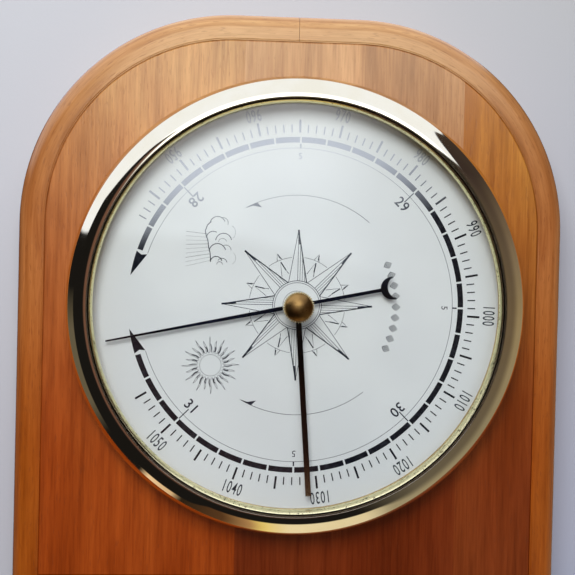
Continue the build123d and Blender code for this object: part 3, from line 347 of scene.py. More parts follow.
# ---- rim ----
# An edge moulding of the same wood, in three pieces: two sides bent round the shoulders that
# butt at the top, and a foot strip mitred between them. The grain follows the moulding.
MM = 0.001
WELD = 2e-6
RIM_WIDTH = 8.0
RIM_DEPTH = 22.0
RIM_ROUNDING = 4.5
RIM_REBATE = 0.45
REBATE_SLOPE = 0.25
REBATE_DEPTH = 0.16
CORNER_RADIUS = 62.0
SEAM_GAP = 0.05


def pencil(*point):
    """Start a new mesh as one vertex at a point, in edit mode."""
    bpy.ops.object.select_all(action="DESELECT")
    bpy.ops.mesh.primitive_plane_add(size=MM)
    bpy.ops.object.mode_set(mode="EDIT")
    bpy.ops.mesh.merge(type="CENTER")
    bpy.ops.transform.translate(value=point)
    return bpy.context.object


def draw(points):
    """Carry the vertex on through the points after the first."""
    for start, end in zip(points[:-1], points[1:]):
        pull(Vector(end) - Vector(start))


def pull(step):
    bpy.ops.mesh.extrude_region_move(TRANSFORM_OT_translate={"value": step})


def weld(distance=WELD):
    bpy.ops.mesh.select_all(action="SELECT")
    bpy.ops.mesh.remove_doubles(threshold=distance)


def tidy_faces(distance=WELD):
    weld(distance)
    bpy.ops.mesh.normals_make_consistent(inside=False)


def pick(piece):
    """Select one object and nothing else."""
    bpy.ops.object.select_all(action="DESELECT")
    piece.select_set(True)
    bpy.context.view_layer.objects.active = piece


def hand_over(piece, name, body, slot, material, *nodes, angle=40):
    """Leave edit mode, smooth the rounded faces, and say what the piece is."""
    if bpy.context.mode != "OBJECT":
        bpy.ops.object.mode_set(mode="OBJECT")
    pick(piece)
    bpy.ops.object.shade_smooth_by_angle(angle=radians(angle))
    piece.name = name
    piece.data.materials.clear()
    piece.data.materials.append(material)
    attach(piece, body)
    if nodes:
        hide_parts(*nodes)


def rim_section():
    """(distance in from the edge, depth behind the front) round the moulding, in mm."""
    turns = [radians(10 * i) for i in range(10)]
    rounding = [(RIM_ROUNDING * (1 - cos(t)), RIM_ROUNDING * (1 - sin(t))) for t in turns]
    inner = RIM_WIDTH - RIM_REBATE
    rebate = [(inner, 0), (inner + REBATE_SLOPE, REBATE_DEPTH), (RIM_WIDTH, REBATE_DEPTH)]
    return [(0, RIM_DEPTH), *rounding, *rebate, (RIM_WIDTH, RIM_DEPTH)]


def lay_grain(piece, along):
    """UV of a moulding: how far round its section, and how far along it."""
    layer = piece.data.uv_layers.active or piece.data.uv_layers.new(name="grain")
    for loop in piece.data.loops:
        spot = piece.data.vertices[loop.vertex_index].co
        inward, length = along(spot)
        depth = spot.y + RIM_DEPTH * MM
        layer.data[loop.index].uv = (depth - inward, length)


half_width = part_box("rim_foot")[1].x
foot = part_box("rim_foot")[0].z
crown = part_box("rim_left")[1].z
shoulder = crown - CORNER_RADIUS * MM
corner_x = half_width - CORNER_RADIUS * MM
rim_wood = varnished_wood(
    "rim_wood", deep=(0.37, 0.076, 0.006, 1), pale=(0.47, 0.22, 0.075, 1), offset=4.4,
    curved=True, flecks=0.3,
)


def rim_side(side, name, node):
    section = [
        (side * (half_width - inward * MM), (depth - RIM_DEPTH) * MM, shoulder)
        for inward, depth in rim_section()
    ]
    piece = pencil(*section[0])
    draw([*section, section[0]])
    weld()
    bpy.ops.mesh.spin(
        steps=40, angle=radians(90), center=(side * corner_x, 0, shoulder), axis=(0, side, 0),
    )
    pull((-side * (corner_x - SEAM_GAP * MM), 0, 0))
    bpy.ops.mesh.edge_face_add()
    bpy.ops.mesh.select_all(action="DESELECT")
    bpy.ops.object.mode_set(mode="OBJECT")
    for edge in piece.data.edges:
        ends = [piece.data.vertices[v].co for v in edge.vertices]
        edge.select = all(abs(p.z - shoulder) < 1e-6 and side * p.x > corner_x for p in ends)
    bpy.ops.object.mode_set(mode="EDIT")
    pull((0, 0, foot - shoulder))
    bpy.ops.mesh.select_all(action="SELECT")
    bpy.ops.mesh.bisect(
        plane_co=(side * half_width, 0, foot), plane_no=(side, 0, 1),
        use_fill=True, clear_inner=True,
    )
    tidy_faces()
    bpy.ops.object.mode_set(mode="OBJECT")

    def along(spot):
        out, rise = side * spot.x - corner_x, spot.z - shoulder
        if rise <= 0:
            return half_width - side * spot.x, spot.z - foot
        if out <= 0:
            return crown - spot.z, shoulder - foot + CORNER_RADIUS * MM * pi / 2 - out
        reach = Vector((out, rise))
        bend = reach.angle(Vector((1, 0)))
        return CORNER_RADIUS * MM - reach.length, shoulder - foot + CORNER_RADIUS * MM * bend

    lay_grain(piece, along)
    hand_over(piece, name, "plaque", "rim_wood", rim_wood, node, angle=30)


rim_side(-1, "moulding_left", "rim_left")
rim_side(1, "moulding_right", "rim_right")

section = [
    (-half_width, (depth - RIM_DEPTH) * MM, foot + inward * MM) for inward, depth in rim_section()
]
strip = pencil(*section[0])
draw([*section, section[0]])
weld()
pull((2 * half_width, 0, 0))
for side in (-1, 1):
    bpy.ops.mesh.select_all(action="SELECT")
    bpy.ops.mesh.bisect(
        plane_co=(side * half_width, 0, foot), plane_no=(side, 0, 1),
        use_fill=True, clear_outer=True,
    )
tidy_faces()
bpy.ops.object.mode_set(mode="OBJECT")
lay_grain(strip, lambda spot: (spot.z - foot, spot.x + half_width))
hand_over(strip, "moulding_foot", "plaque", "rim_wood", rim_wood, "rim_foot", angle=30)

# ---- case, hanger and movement ----
# The pot is spun brass, sprung into the bore by three riveted steel clips. The keyhole hanger
# is zinc-plated steel. Inside are the brass plates, nickelled capsule and steel springs.
SPECK = (0.10, 0.07, 0.03, 1)


def metal(name, tone, shadow, roughness, brush=(900, 900, 900), relief=0.05, zones=()):
    """Solid metal with slight staining and fine tool marks. A zone has another tone, is so much
    rougher and is so strongly flecked, between some distances from the dial's axis: where it
    starts, is full, fades and is gone, in mm."""
    made, tree, shader = finish(name)
    place = add(tree, "TexCoord").outputs["Object"]
    stain = noise(tree, place, (130, 130, 130), 4.0)
    marks = noise(tree, place, brush, 2.0, 1.7)
    tone = ramp(tree, stain, (0.35, shadow), (0.62, tone))
    sockets = {"Value": marks, "To Min": roughness * 0.75, "To Max": roughness * 1.3}
    rough = add(tree, "MapRange", sockets).outputs[0]
    for other, rougher, limits, flecked in zones:
        starts, full, fades, gone = [distance / 1000 for distance in limits]
        specks = share(tree, noise(tree, place, (1500, 1500, 1500), 1.0, 2.0), 0.63, 0.70)
        other = mix(tree, calc(tree, "MULTIPLY", specks, flecked), other, SPECK)
        away = add(tree, "VectorMath", {0: place, 1: dial_middle}, operation="SUBTRACT").outputs[0]
        away = add(tree, "VectorMath", {0: away, 1: (1, 0, 1)}, operation="MULTIPLY").outputs[0]
        reach = add(tree, "VectorMath", {0: away}, operation="LENGTH").outputs["Value"]
        begun, ended = share(tree, reach, starts, full), share(tree, reach, fades, gone)
        amount = calc(tree, "SUBTRACT", begun, ended)
        tone = mix(tree, amount, tone, other)
        rough = calc(tree, "MULTIPLY_ADD", amount, rougher, rough)
    tree.links.new(tone, shader.inputs["Base Color"])
    tree.links.new(rough, shader.inputs["Roughness"])
    shader.inputs["Metallic"].default_value = 1.0
    bump = add(tree, "Bump", {"Strength": relief, "Distance": 0.00005, "Height": marks})
    tree.links.new(bump.outputs[0], shader.inputs["Normal"])
    return made


case_brass = metal(
    "case_brass", colour(214, 184, 112), colour(186, 152, 84), roughness=0.28,
    brush=(1500, 1500, 1500), relief=0.08,
)
movement_brass = metal(
    "movement_brass", colour(206, 172, 98), colour(176, 140, 72), roughness=0.22,
    brush=(2600, 60, 60),
)
zinc = metal(
    "zinc_plate", colour(186, 190, 194), colour(150, 154, 160), roughness=0.34,
    brush=(700, 700, 700), relief=0.1,
)
spring_steel = metal(
    "spring_steel", colour(150, 152, 156), colour(110, 112, 118), roughness=0.25,
    brush=(2400, 80, 80),
)
bright_steel = metal(
    "bright_steel", colour(200, 202, 206), colour(168, 170, 176), roughness=0.2,
    brush=(2400, 80, 80),
)
nickel = metal(
    "capsule_metal", colour(190, 188, 178), colour(158, 154, 142), roughness=0.24,
    brush=(600, 600, 600),
)
for material, nodes in (
    (case_brass, ("case_pot", "clip_rivets", "glass_seat")),
    (zinc, ("hanger_plate", "hanger_screws", "movement_screws", "adjusting_screw")),
    (spring_steel, ("retaining_clips", "main_spring", "hairspring", "chain")),
    (bright_steel, (
        "pointer_arbor", "hairspring_stud", "bridge_screws", "capsule_post", "spring_screws",
        "main_lever", "link_rod", "rocker", "rocker_bearings", "spring_bridge",
    )),
    (movement_brass, (
        "base_plate", "lower_bridge", "upper_bridge", "bridge_pillars", "bridge_spacers",
    )),
    (nickel, ("capsule_lower", "capsule_upper")),
):
    for node in nodes:
        wear(node, material)

# ---- bezel ----
# One spun ring of polished, lacquered brass: a broad rounded roll outside, a fine groove, and a
# narrow inner ring that leans down to the glass and holds it.
BEZEL_FOOT = 0.1
ROLL_WIDTH = 6.6
ROLL_LEVEL = 4.75
GROOVE_LEVEL = 9.6
GROOVE_WIDTH = 0.3
GROOVE_DROP = 1.75
RING_RADIUS = 58.35
RING_WIDTH = 0.8
RING_RISE = 1.9
GLASS_LEVEL = 7.95
SEAT_RADIUS = 61.55
SKIRT_RADIUS = 63.6
SKIRT_HEIGHT = 4.5

bezel_low, bezel_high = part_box("bezel")
bezel_radius = (bezel_high.x - bezel_low.x) / 2 / MM
# The inner ring's brass is yellower, rougher and speckled: partly its own duller finish and specks,
# partly a painted reflection tint.
speckled_ring_with_painted_tint = ((0.86, 0.79, 0.44, 1), 0.16, (0.0, 0.1, 58.25, 58.35), 0.7)
# Painted shade: the fine groove between the roll and the inner ring is coloured dark brown, where
# shade falls in the crevice.
painted_groove_shade = ((0.09, 0.055, 0.03, 1), 0.25, (58.30, 58.40, 58.82, 58.92), 0.0)
polished_brass = metal(
    "polished_brass", (0.94, 0.88, 0.68, 1), (0.91, 0.84, 0.62, 1), roughness=0.05,
    brush=(90, 90, 90), relief=0.0, zones=[speckled_ring_with_painted_tint, painted_groove_shade],
)


def turn(name, outline, body, slot, material, node, steps, angle=30):
    """Spin a (radius, height above the plaque) outline in mm into a ring about the dial's axis."""
    points = [
        (dial_middle.x + radius * MM, front_y - height * MM, dial_middle.z)
        for radius, height in [*outline, outline[0]]
    ]
    piece = pencil(*points[0])
    draw(points)
    weld(1e-6)
    centre = (dial_middle.x, 0, dial_middle.z)
    bpy.ops.mesh.spin(steps=steps, angle=2 * pi, center=centre, axis=(0, -1, 0))
    tidy_faces()
    hand_over(piece, name, body, slot, material, node, angle=angle)


def rounded(centre, level, wide, high, start, end, count):
    """Points along part of an ellipse, by angle from outwards to upwards, in degrees."""
    turns = [radians(start + (end - start) * i / count) for i in range(count + 1)]
    return [(centre + wide * cos(t), level + high * sin(t)) for t in turns]


crest = bezel_radius - ROLL_WIDTH
bezel_outline = [
    (bezel_radius, BEZEL_FOOT),
    *rounded(crest, ROLL_LEVEL, ROLL_WIDTH, ROLL_WIDTH, 0, 90, 26),
    *rounded(crest, GROOVE_LEVEL, GROOVE_WIDTH, GROOVE_DROP, 90, 180, 8)[1:],
    *rounded(RING_RADIUS, GLASS_LEVEL, RING_WIDTH, RING_RISE, 90, 180, 14),
    (SEAT_RADIUS, GLASS_LEVEL), (SKIRT_RADIUS, SKIRT_HEIGHT), (SKIRT_RADIUS, BEZEL_FOOT),
]
turn("bezel_ring", bezel_outline, "insert", "bezel_brass", polished_brass, "bezel", steps=240)

# ---- dial plate ----
# A thin aluminium disc, painted a cool silvery white in a fine matt coat before it is printed.
# It lies on the flange of the pot, under the ring that carries the glass.
dial_paint, tree, shader = finish("dial_paint")
place = add(tree, "TexCoord").outputs["Object"]
cloudy = share(tree, noise(tree, place, (24, 24, 24), 3.0), 0.35, 0.65)
grit = noise(tree, place, (3200, 3200, 3200), 2.0, 4.0)
dial_tone = mix(tree, cloudy, colour(218, 223, 221), colour(225, 230, 227))
tree.links.new(dial_tone, shader.inputs["Base Color"])
shader.inputs["Roughness"].default_value = 0.5
relief = add(tree, "Bump", {"Strength": 0.08, "Distance": 0.00003, "Height": grit})
tree.links.new(relief.outputs[0], shader.inputs["Normal"])
wear("dial_plate", dial_paint)

# ---- printed scales ----
# Screen-printed ink, two hundredths of a millimetre thick: ticks and numbers of the millibar scale,
# a ring of dashes with an arrow at each end, and the numbers of the inch scale inside it.
INK = 0.02
FINE_WELD = 1e-6
DASH_RADIUS = 47.8
DASH_WIDTH = 1.6
DASH_STEP = 9.0
DASH_GAP = 0.66
DASHES = 36
ARROW_LENGTH = 8.9
ARROW_HEEL = 0.8
THIN_RING_RADIUS = 45.4
THIN_RING_HALF = 0.06
TICK_FOOT = 49.9
MBAR_STEP = 2.6577
MBAR_AT_TOP = 998.98
FIRST_MBAR, LAST_MBAR = 942, 1055
FIRST_NUMBER, LAST_NUMBER = 950, 1050
NUMBER_RADIUS = 56.1
NUMBER_SHIFT = -0.65
INCH_STEP = 90
INCH_BEARING = -135
INCH_RADIUS = 42.2
HALF_INCH_RADIUS = 43.0
# Heights over which the print turns paler towards the top: partly fading, partly painted glare.
PAINTED_GLARE_FROM, PAINTED_GLARE_FULL = 0.019, 0.041
dial_face = dial_low.y


def ink(name, tone, faded_and_glare_tone):
    """Matt ink, paler towards the upper left: partly fading, partly a painted glare of the glass
    over it.
    """
    made, tree, shader = finish(name)
    place = add(tree, "TexCoord").outputs["Object"]
    uneven = noise(tree, place, (800, 800, 800), 2.0)
    axes = add(tree, "SeparateXYZ", {0: place})
    glare_side = calc(tree, "MULTIPLY_ADD", axes.outputs["X"], -0.15, axes.outputs["Z"])
    painted_glare_share = share(tree, glare_side, dial_middle.z + PAINTED_GLARE_FROM, dial_middle.z + PAINTED_GLARE_FULL)
    solid = mix(tree, calc(tree, "MULTIPLY", share(tree, uneven, 0.4, 0.8), 0.03), tone, faded_and_glare_tone)
    paling_with_painted_light = mix(tree, calc(tree, "MULTIPLY", painted_glare_share, 0.80), solid, faded_and_glare_tone)
    tree.links.new(paling_with_painted_light, shader.inputs["Base Color"])
    shader.inputs["Roughness"].default_value = 0.6
    shader.inputs["Specular IOR Level"].default_value = 0.2
    return made


# Each ink's second colour is its paler tone, reached under the painted glare at the top.
black_ink = ink("black_ink", colour(4, 8, 20), colour(196, 203, 214))
grey_ink = ink("grey_ink", colour(24, 32, 46), colour(196, 203, 212))
number_ink = ink("number_ink", colour(40, 50, 58), colour(203, 209, 217))


def on_dial(radius, bearing, lift=0.0):
    """A place on the dial, by radius in mm and clockwise bearing from twelve o'clock."""
    turned = radians(bearing)
    ahead, aside = radius * MM * cos(turned), radius * MM * sin(turned)
    return Vector((dial_middle.x + ahead, dial_face - lift * MM, dial_middle.z - aside))


def flat(piece):
    """Leave edit mode with what was drawn."""
    bpy.ops.object.mode_set(mode="OBJECT")
    return piece


def thicken(piece, thickness=INK):
    """Raise a flat print off the dial's face and leave it as a closed skin of ink."""
    bpy.ops.object.mode_set(mode="EDIT")
    tidy_faces(FINE_WELD)
    pull((0, -thickness * MM, 0))
    tidy_faces(FINE_WELD)
    bpy.ops.object.mode_set(mode="OBJECT")


def spin_on_dial(steps, angle, copies=False):
    bpy.ops.mesh.select_all(action="SELECT")
    bpy.ops.mesh.spin(
        steps=steps, angle=radians(angle), center=dial_middle, axis=(0, -1, 0), dupli=copies,
    )


def sweep(inner, outer, start, end, steps):
    """Flat band between two radii, from one bearing to another."""
    piece = pencil(*on_dial(inner, start))
    draw([on_dial(inner, start), on_dial(outer, start)])
    spin_on_dial(steps, end - start)
    return flat(piece)


def tick(inner, outer, width, bearing):
    """One upright mark, drawn as its side and widened along the dial."""
    ahead = (on_dial(outer, bearing + 90) - dial_middle).normalized() * width * MM / 2
    ahead.y = 0
    piece = pencil(*(on_dial(inner, bearing) - ahead))
    draw([on_dial(inner, bearing), on_dial(outer, bearing)])
    bpy.ops.mesh.select_all(action="SELECT")
    pull(2 * ahead)
    return flat(piece)


def join(pieces):
    bpy.ops.object.select_all(action="DESELECT")
    for piece in pieces:
        piece.select_set(True)
    bpy.context.view_layer.objects.active = pieces[0]
    bpy.ops.object.join()
    return bpy.context.object


def printed(pieces, name, material, raised=True):
    """Join drawn pieces into one print on the dial, and raise what is still flat."""
    piece = join(pieces)
    if raised:
        thicken(piece)
    hand_over(piece, name, "insert", "dial_print", material)


inner_edge = DASH_RADIUS - DASH_WIDTH / 2
outer_edge = DASH_RADIUS + DASH_WIDTH / 2
gap_angle = DASH_GAP / 2
last = DASHES / 2 * DASH_STEP
dash = sweep(inner_edge, outer_edge, -last + gap_angle, -last + DASH_STEP - gap_angle, 6)
bpy.ops.object.mode_set(mode="EDIT")
spin_on_dial(DASHES - 1, DASH_STEP * (DASHES - 1), copies=True)
dashes = [flat(dash)]
for side in (-1, 1):
    start = on_dial(outer_edge, side * (last + gap_angle))
    curved_side = [on_dial(outer_edge, side * (last + gap_angle + i)) for i in range(1, 9)]
    tip = on_dial(outer_edge, side * (last + ARROW_LENGTH))
    barb = on_dial(THIN_RING_RADIUS, side * (last + gap_angle))
    heel = on_dial(inner_edge, side * (last + gap_angle + ARROW_HEEL))
    arrow = pencil(*start)
    draw([start, *curved_side, tip, barb, heel])
    bpy.ops.mesh.edge_face_add()
    bpy.ops.mesh.select_all(action="SELECT")
    bpy.ops.mesh.edge_face_add()
    dashes.append(flat(arrow))
printed(dashes, "scale_ring", black_ink)

band = (THIN_RING_RADIUS - THIN_RING_HALF, THIN_RING_RADIUS + THIN_RING_HALF)
thin = [sweep(*band, -last, last, 180)]
for i in range(-1, 2):
    thin.append(tick(THIN_RING_RADIUS, THIN_RING_RADIUS + 1.3, 0.4, INCH_STEP * i))
for i in range(4):
    bearing = INCH_STEP * i + INCH_BEARING
    thin.append(tick(THIN_RING_RADIUS - 2.2, THIN_RING_RADIUS + 1.6, 0.3, bearing))
printed(thin, "inch_scale", grey_ink)


def mbar(pressure):
    """The bearing of a pressure."""
    return (pressure - MBAR_AT_TOP) * MBAR_STEP


ticks = []
for pressure in range(FIRST_MBAR, LAST_MBAR + 1):
    end, width = (53.6, 0.60) if pressure % 5 == 0 else (52.2, 0.34)
    ticks.append(tick(TICK_FOOT, end, width, mbar(pressure)))
printed(ticks, "millibar_ticks", black_ink)


def stamp(text, radius, bearing, height, squeeze, spacing=1.0, weight=0.0):
    """Printed figures at a bearing, tops outwards in the upper half and inwards in the lower."""
    bpy.ops.object.select_all(action="DESELECT")
    bpy.ops.object.text_add()
    piece = bpy.context.object
    piece.data.body = text
    piece.data.size = height * MM
    piece.data.space_character = spacing
    piece.data.offset = weight * MM
    piece.data.align_x = "CENTER"
    piece.data.align_y = "CENTER"
    piece.data.resolution_u = 3
    piece.data.extrude = INK * MM / 2
    bpy.ops.object.convert(target="MESH")
    piece = bpy.context.object
    half_turn = 180 if abs(bearing) > 90.5 else 0
    facing = Matrix.Rotation(radians(-bearing - 90 + half_turn), 4, (0, -1, 0))
    upright = Matrix.Rotation(radians(90), 4, "X") @ Matrix.Diagonal((squeeze, 1, 1, 1))
    middle = Matrix.Translation(on_dial(radius, bearing, INK / 2))
    piece.matrix_world = middle @ facing @ upright
    bpy.ops.object.transform_apply(location=True, rotation=True, scale=True)
    return piece


numbers = []
for pressure in range(FIRST_NUMBER, LAST_NUMBER + 1, 10):
    bearing = mbar(pressure) + NUMBER_SHIFT
    numbers.append(stamp(
        str(pressure), NUMBER_RADIUS, bearing, height=5.0, squeeze=0.55, spacing=1.12, weight=0.03,
    ))
printed(numbers, "millibar_numbers", number_ink, raised=False)
inches = []
for i in range(4):
    inches.append(stamp(
        str(28 + i), INCH_RADIUS, INCH_STEP * i + INCH_BEARING,
        height=4.2, squeeze=0.95, spacing=1.1, weight=0.05,
    ))
for i in range(-1, 2):
    inches.append(stamp("5", HALF_INCH_RADIUS, INCH_STEP * i, height=2.6, squeeze=1.0))
printed(inches, "inch_numbers", grey_ink, raised=False)

# ---- printed ornaments ----
# A compass rose round the middle, two curved arrows for falling and rising pressure, a small sun
# and a small cloud at the ends of the scale, and a row of lozenges, in the same ink in thin lines.
ROSE_POINTS = 8
ROSE_FOOT = 6.6
ROSE_TIP = 21.8
ROSE_HALF = 2.6
ROSE_RING = 7.05
ROSE_SHADING = (0.65, 1.3, 1.95)
TREND_RADIUS = 31.8
SUN = (-24.6, -17.8)
SUN_RAYS = 24
SUN_RADIUS = 3.1
CLOUD_CURLS = (
    (-23.4, 22.9, 2.2, 165, 20, 0.10), (-21.9, 23.3, 1.5, 110, -20, 0.07),
    (-24.6, 18.9, 1.9, 170, 60, 0.10), (-21.6, 18.0, 2.3, 175, 10, 0.10),
    (-21.9, 17.6, 1.2, 170, 20, 0.05), (-23.3, 14.9, 2.4, 170, 15, 0.11),
    (-20.9, 15.4, 1.5, 120, 0, 0.06), (-23.6, 11.9, 1.7, 175, 15, 0.12),
    (-21.9, 11.7, 1.4, 150, 10, 0.08), (-22.6, 11.3, 0.8, 180, 0, 0.07),
    (-20.4, 20.6, 2.2, 60, -50, 0.03), (-20.0, 13.2, 2.0, 50, -60, 0.03),
)
CLOUD_BACK = (
    (-25.2, 23.6), (-26.3, 22.6), (-26.9, 20.9), (-26.6, 19.4),
    (-26.1, 18.2), (-25.9, 16.4), (-25.4, 14.6), (-25.2, 12.0),
)
WIND_LINES = 9
LOZENGES = 9
LOZENGE_RADIUS = 28.8
LOZENGE_STEP = 6.25
LOZENGE_LINE = 0.13


def line(points, radius=0.055):
    """One drawn line: a fine wire laid half in the dial's face."""
    piece = pencil(*points[0])
    draw(points)
    bpy.ops.object.mode_set(mode="OBJECT")
    pick(piece)
    bpy.ops.object.convert(target="CURVE")
    wire = bpy.context.object
    wire.data.bevel_depth = radius * MM
    wire.data.bevel_resolution = 0
    wire.data.use_fill_caps = True
    bpy.ops.object.convert(target="MESH")
    return bpy.context.object


def spot(radius, angle):
    """A place on the dial by the angle seen from the front, anticlockwise from the right."""
    return on_dial(radius, -angle)


def beside(radius, angle, across):
    """A place on a spoke's side, so far from its middle line in mm."""
    turned = radians(angle)
    aside = Vector((-sin(turned), 0, cos(turned))) * across * MM
    return spot(radius, angle) + aside


rose = []
for i in range(ROSE_POINTS):
    spoke = 360 / ROSE_POINTS * i
    tip = spot(ROSE_TIP, spoke)
    rose.append(line([beside(ROSE_FOOT, spoke, ROSE_HALF), tip], 0.08))
    rose.append(line([beside(ROSE_FOOT, spoke, -ROSE_HALF), tip], 0.15))
    rose.append(line([beside(17.6, spoke, -0.45), tip], 0.26))
    rose.append(line([spot(ROSE_RING, spoke), tip], 0.075))
    for across in ROSE_SHADING:
        reach = ROSE_FOOT + (21.6 - ROSE_FOOT) * (1 - across / ROSE_HALF)
        rose.append(line([beside(6.9, spoke, -across), beside(reach, spoke, -across)], 0.065))
    between = spoke + 180 / ROSE_POINTS
    for points, width in (
        (((9.4, -6.5), (13.3, 0), (9.4, 6.5)), 0.085),
        (((10.6, -3.6), (13.3, -0.6)), 0.16),
        (((13.9, -3.2), (16.0, 0), (13.9, 3.2)), 0.08),
        (((14.3, -1.6), (15.7, -0.3)), 0.14),
        ([(13.9, 3 * j - 15) for j in range(11)], 0.055),
    ):
        rose.append(line([spot(radius, between + turned) for radius, turned in points], width))
printed(rose, "compass_rose", grey_ink, raised=False)
rings = [
    sweep(radius - half, radius + half, 0, 360, 96)
    for radius, half in ((ROSE_RING, 0.09), (6.5, 0.07), (4.1, 0.06))
]
printed(rings, "compass_rings", grey_ink)

arcs = []
for start, end in ((50, 118.5), (-51.5, -119.5)):
    step = (end - start) / 24
    arcs.append(line([spot(TREND_RADIUS, start + step * i) for i in range(25)], 0.07))
    lean = 1 if end > 0 else -1
    corners = [
        spot(TREND_RADIUS, end + lean), spot(31.85, end - 6 * lean),
        spot(30.0, end - 7.5 * lean), spot(31.4, end - 3.5 * lean),
    ]
    head = pencil(*corners[0])
    draw(corners)
    bpy.ops.mesh.select_all(action="SELECT")
    bpy.ops.mesh.edge_face_add()
    thicken(flat(head), 0.03)
    arcs.append(head)
printed(arcs, "trend_arrows", grey_ink, raised=False)


def near(right, up):
    """A place on the dial, so far to the right of its middle and above it, in mm."""
    return dial_middle + Vector((right * MM, dial_face - dial_middle.y, up * MM))


def curl(right, up, radius, start, end, count=10):
    """Points along part of a circle that is drawn from one angle to another."""
    turns = [radians(start + (end - start) * i / count) for i in range(count + 1)]
    return [near(right + radius * cos(t), up + radius * sin(t)) for t in turns]


def ray(bearing, points, width):
    """One line of the sun, from (radius, angle beside the bearing) points."""
    turns = [(radius, radians(bearing + aside)) for radius, aside in points]
    return line([near(SUN[0] + r * cos(t), SUN[1] + r * sin(t)) for r, t in turns], width)


sun = []
for i in range(SUN_RAYS):
    bearing = 360 / SUN_RAYS * i
    tip, half, core = (8.3, 5.5, 6.2) if i % 2 == 0 else (7.2, 5.0, 5.4)
    one_edge = ((3.5, half), (5.0, half * 0.3), (6.4, half * 0.75), (tip, 2.0))
    other_edge = ((3.5, -half), (5.0, -half * 0.8), (6.4, half * 0.1), (tip, 2.0))
    sun.append(ray(bearing, one_edge, 0.05))
    sun.append(ray(bearing, other_edge, 0.05))
    sun.append(ray(bearing, ((3.9, -1.0), (4.9, -2.5), (core, 1.0)), 0.15 if i % 3 else 0.09))
sun.append(line(curl(*SUN, SUN_RADIUS, 0, 360, 40), 0.05))
printed(sun, "small_sun", grey_ink, raised=False)

cloud = [line([near(*point) for point in CLOUD_BACK], 0.12)]
for *circle, width in CLOUD_CURLS:
    cloud.append(line(curl(*circle), width))
for i in range(WIND_LINES):
    start, end = near(-26.3 + 0.12 * i, 20.0 - 0.95 * i), near(-32.4, 20.6 - 1.25 * i)
    cloud.append(line([start, end], 0.028 if i % 3 else 0.045))
printed(cloud, "small_cloud", grey_ink, raised=False)

lozenges = []
for i in range(LOZENGES):
    angle = LOZENGE_STEP * ((LOZENGES - 1) / 2 - i)
    for size in (1.0, 0.45):
        high, wide = size * 1.15, size * 1.9
        corners = [
            spot(LOZENGE_RADIUS - high, angle), spot(LOZENGE_RADIUS, angle + wide),
            spot(LOZENGE_RADIUS + high, angle), spot(LOZENGE_RADIUS, angle - wide),
        ]
        lozenges.append(line([*corners, corners[0]], LOZENGE_LINE))
printed(lozenges, "lozenge_row", grey_ink, raised=False)

# ---- glass ----
# A flat disc of clear window glass, drilled in the middle for the bush of the set hand. It rests
# on the ring over the dial, and the bezel's inner ring holds it down.
GLASS_IOR = 1.5
GLASS_CLEARNESS = (0.98, 0.985, 0.98, 1)
window_glass, tree, shader = finish("window_glass")
shader.inputs["Base Color"].default_value = WHITE
shader.inputs["Roughness"].default_value = 0.0
shader.inputs["IOR"].default_value = GLASS_IOR
shader.inputs["Transmission Weight"].default_value = 1.0
lets_light_through = add(tree, "BsdfTransparent", {0: GLASS_CLEARNESS}).outputs[0]
path = add(tree, "LightPath")
passing = calc(tree, "MAXIMUM", path.outputs["Is Shadow Ray"], path.outputs["Is Diffuse Ray"])
either = add(tree, "MixShader", {0: passing, 1: shader.outputs[0], 2: lets_light_through})
output = next(node for node in tree.nodes if node.type == "OUTPUT_MATERIAL")
tree.links.new(either.outputs[0], output.inputs[0])
wear("glass", window_glass)

# ---- pointer ----
# Stamped from blued spring steel, long and thin, with a crescent on its tail and a small boss
# pressed on the arbor.
POINTER_BEARING = 168.46
POINTER_LIFT = 1.7
POINTER_TIP = 55.45
POINTER_THICKNESS = 0.4
TIP_HALF = 0.24
BOSS_RADIUS = 2.4
BOSS_HEIGHT = 0.5
TAIL_MIDDLE = -27.85
TAIL_RADIUS = 3.3
TAIL_CUT_RADIUS = 3.4
TAIL_CUT_SHIFT = 2.1
blued_steel = metal(
    "blued_steel", (0.014, 0.018, 0.038, 1), (0.006, 0.007, 0.013, 1), roughness=0.30,
    brush=(700, 700, 700), relief=0.05,
)


def cut_out(points, lift, thickness):
    """A flat blank cut to (along, across) points in mm, lying so far above the dial."""
    places = [
        beside(along, -POINTER_BEARING, across) - Vector((0, lift * MM, 0))
        for along, across in points
    ]
    blank = pencil(*places[0])
    draw(places)
    bpy.ops.mesh.select_all(action="SELECT")
    bpy.ops.mesh.edge_face_add()
    thicken(flat(blank), thickness)
    return blank


# Points on the hand are (along, across) from its axis, and arcs go by angle from the way it points.
one_side = [
    (POINTER_TIP, TIP_HALF),
    *rounded(0, 0, BOSS_RADIUS, BOSS_RADIUS, 14.5, 168, 16),
    *rounded(TAIL_MIDDLE, 0, TAIL_RADIUS, TAIL_RADIUS, 8.7, 105.6, 16),
    *rounded(TAIL_MIDDLE - TAIL_CUT_SHIFT, 0, TAIL_CUT_RADIUS, TAIL_CUT_RADIUS, 66, 3, 10),
]
other_side = [(along, -across) for along, across in reversed(one_side)]
boss_rim = rounded(0, 0, BOSS_RADIUS, BOSS_RADIUS, 0, 350, 35)
blade = cut_out([*one_side, *other_side], POINTER_LIFT, POINTER_THICKNESS)
boss = cut_out(boss_rim, POINTER_LIFT + POINTER_THICKNESS, BOSS_HEIGHT)
pointer = join([blade, boss])
hand_over(pointer, "pointer_blade", "pointer", "blued_steel", blued_steel, "pointer_hand")

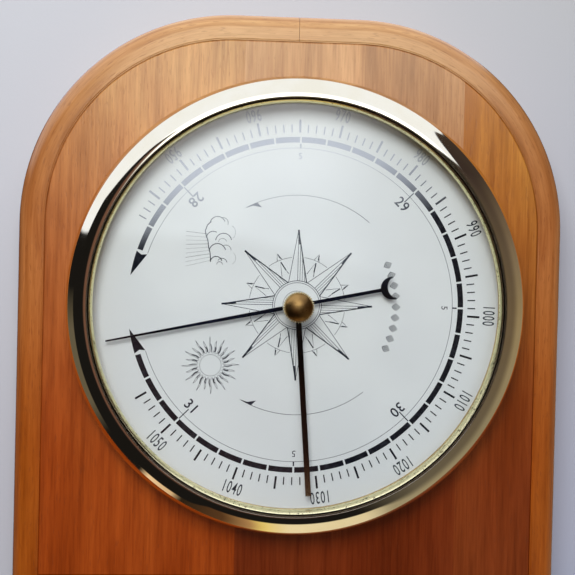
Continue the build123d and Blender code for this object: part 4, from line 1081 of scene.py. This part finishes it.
# ---- set hand, bush and knob ----
# A straight brass hand under the glass, dark brown along its length and lighter towards its tip,
# turned by a small brass knob above the glass on a spindle that runs in a flanged bush. The knob
# has a toothed edge and a domed top.
KNOB_TEETH = 40
TOOTH_TIP = 4.5
TOOTH_ROOT = 4.05
TOOTH_FOOT = 9.2
TOOTH_LENGTH = 1.75
TOOTH_BEVEL = 0.3
TOOTH_TAPER = 0.96
CAP_FOOT_RADIUS = 3.8
CAP_RADIUS = 3.95
CAP_TOP = 11.0
DOME_RADIUS = 4.0
DOME_LEVEL = 11.2
DOME_HEIGHT = 1.65
NECK_RADIUS = 3.3
NECK_FOOT = 8.6
NECK_TOP = 9.3
lighter_tip = ((0.34, 0.25, 0.14, 1), 0.1, (42, 53, 90, 91), 0.0)
hand_brass = metal(
    "hand_brass", (0.070, 0.036, 0.018, 1), (0.030, 0.016, 0.009, 1), roughness=0.12,
    brush=(700, 700, 700), relief=0.05, zones=[lighter_tip],
)
tooth_brass = metal(
    "tooth_brass", (0.90, 0.74, 0.38, 1), (0.70, 0.50, 0.20, 1), roughness=0.22,
    brush=(2200, 2200, 2200), relief=0.1,
)
knob_brass = metal(
    "knob_brass", (0.44, 0.26, 0.085, 1), (0.10, 0.045, 0.016, 1), roughness=0.30,
    brush=(2200, 2200, 2200), relief=0.5,
)
wear("set_hand", hand_brass)
for node in ("set_spindle", "glass_bush", "bush_nut"):
    wear(node, knob_brass)

corners = []
for i in range(KNOB_TEETH * 2):
    radius = TOOTH_ROOT if i % 2 else TOOTH_TIP
    turned = 2 * pi * i / (KNOB_TEETH * 2)
    corner = (radius * MM * cos(turned), -TOOTH_FOOT * MM, radius * MM * sin(turned))
    corners.append(dial_middle + Vector(corner))
teeth = pencil(*corners[0])
draw(corners)
bpy.ops.mesh.select_all(action="SELECT")
bpy.ops.mesh.edge_face_add()
pull((0, -TOOTH_LENGTH * MM, 0))
pull((0, -TOOTH_BEVEL * MM, 0))
top = front_y - (TOOTH_FOOT + TOOTH_LENGTH + TOOTH_BEVEL) * MM
bpy.ops.transform.resize(
    value=(TOOTH_TAPER, 1, TOOTH_TAPER), center_override=(dial_middle.x, top, dial_middle.z),
)
tidy_faces()
hand_over(teeth, "knob_teeth", "set_hand", "knob_brass", tooth_brass)
dome = [
    (DOME_RADIUS * sin(radians(t)), DOME_LEVEL + DOME_HEIGHT * cos(radians(t)))
    for t in range(90, -1, -6)
]
neck = [(0, NECK_FOOT), (NECK_RADIUS, NECK_FOOT), (NECK_RADIUS, NECK_TOP)]
knob_outline = [*neck, (CAP_FOOT_RADIUS, NECK_TOP), (CAP_RADIUS, CAP_TOP), *dome]
turn("knob_top", knob_outline, "set_hand", "knob_brass", knob_brass, "set_knob", steps=64, angle=40)
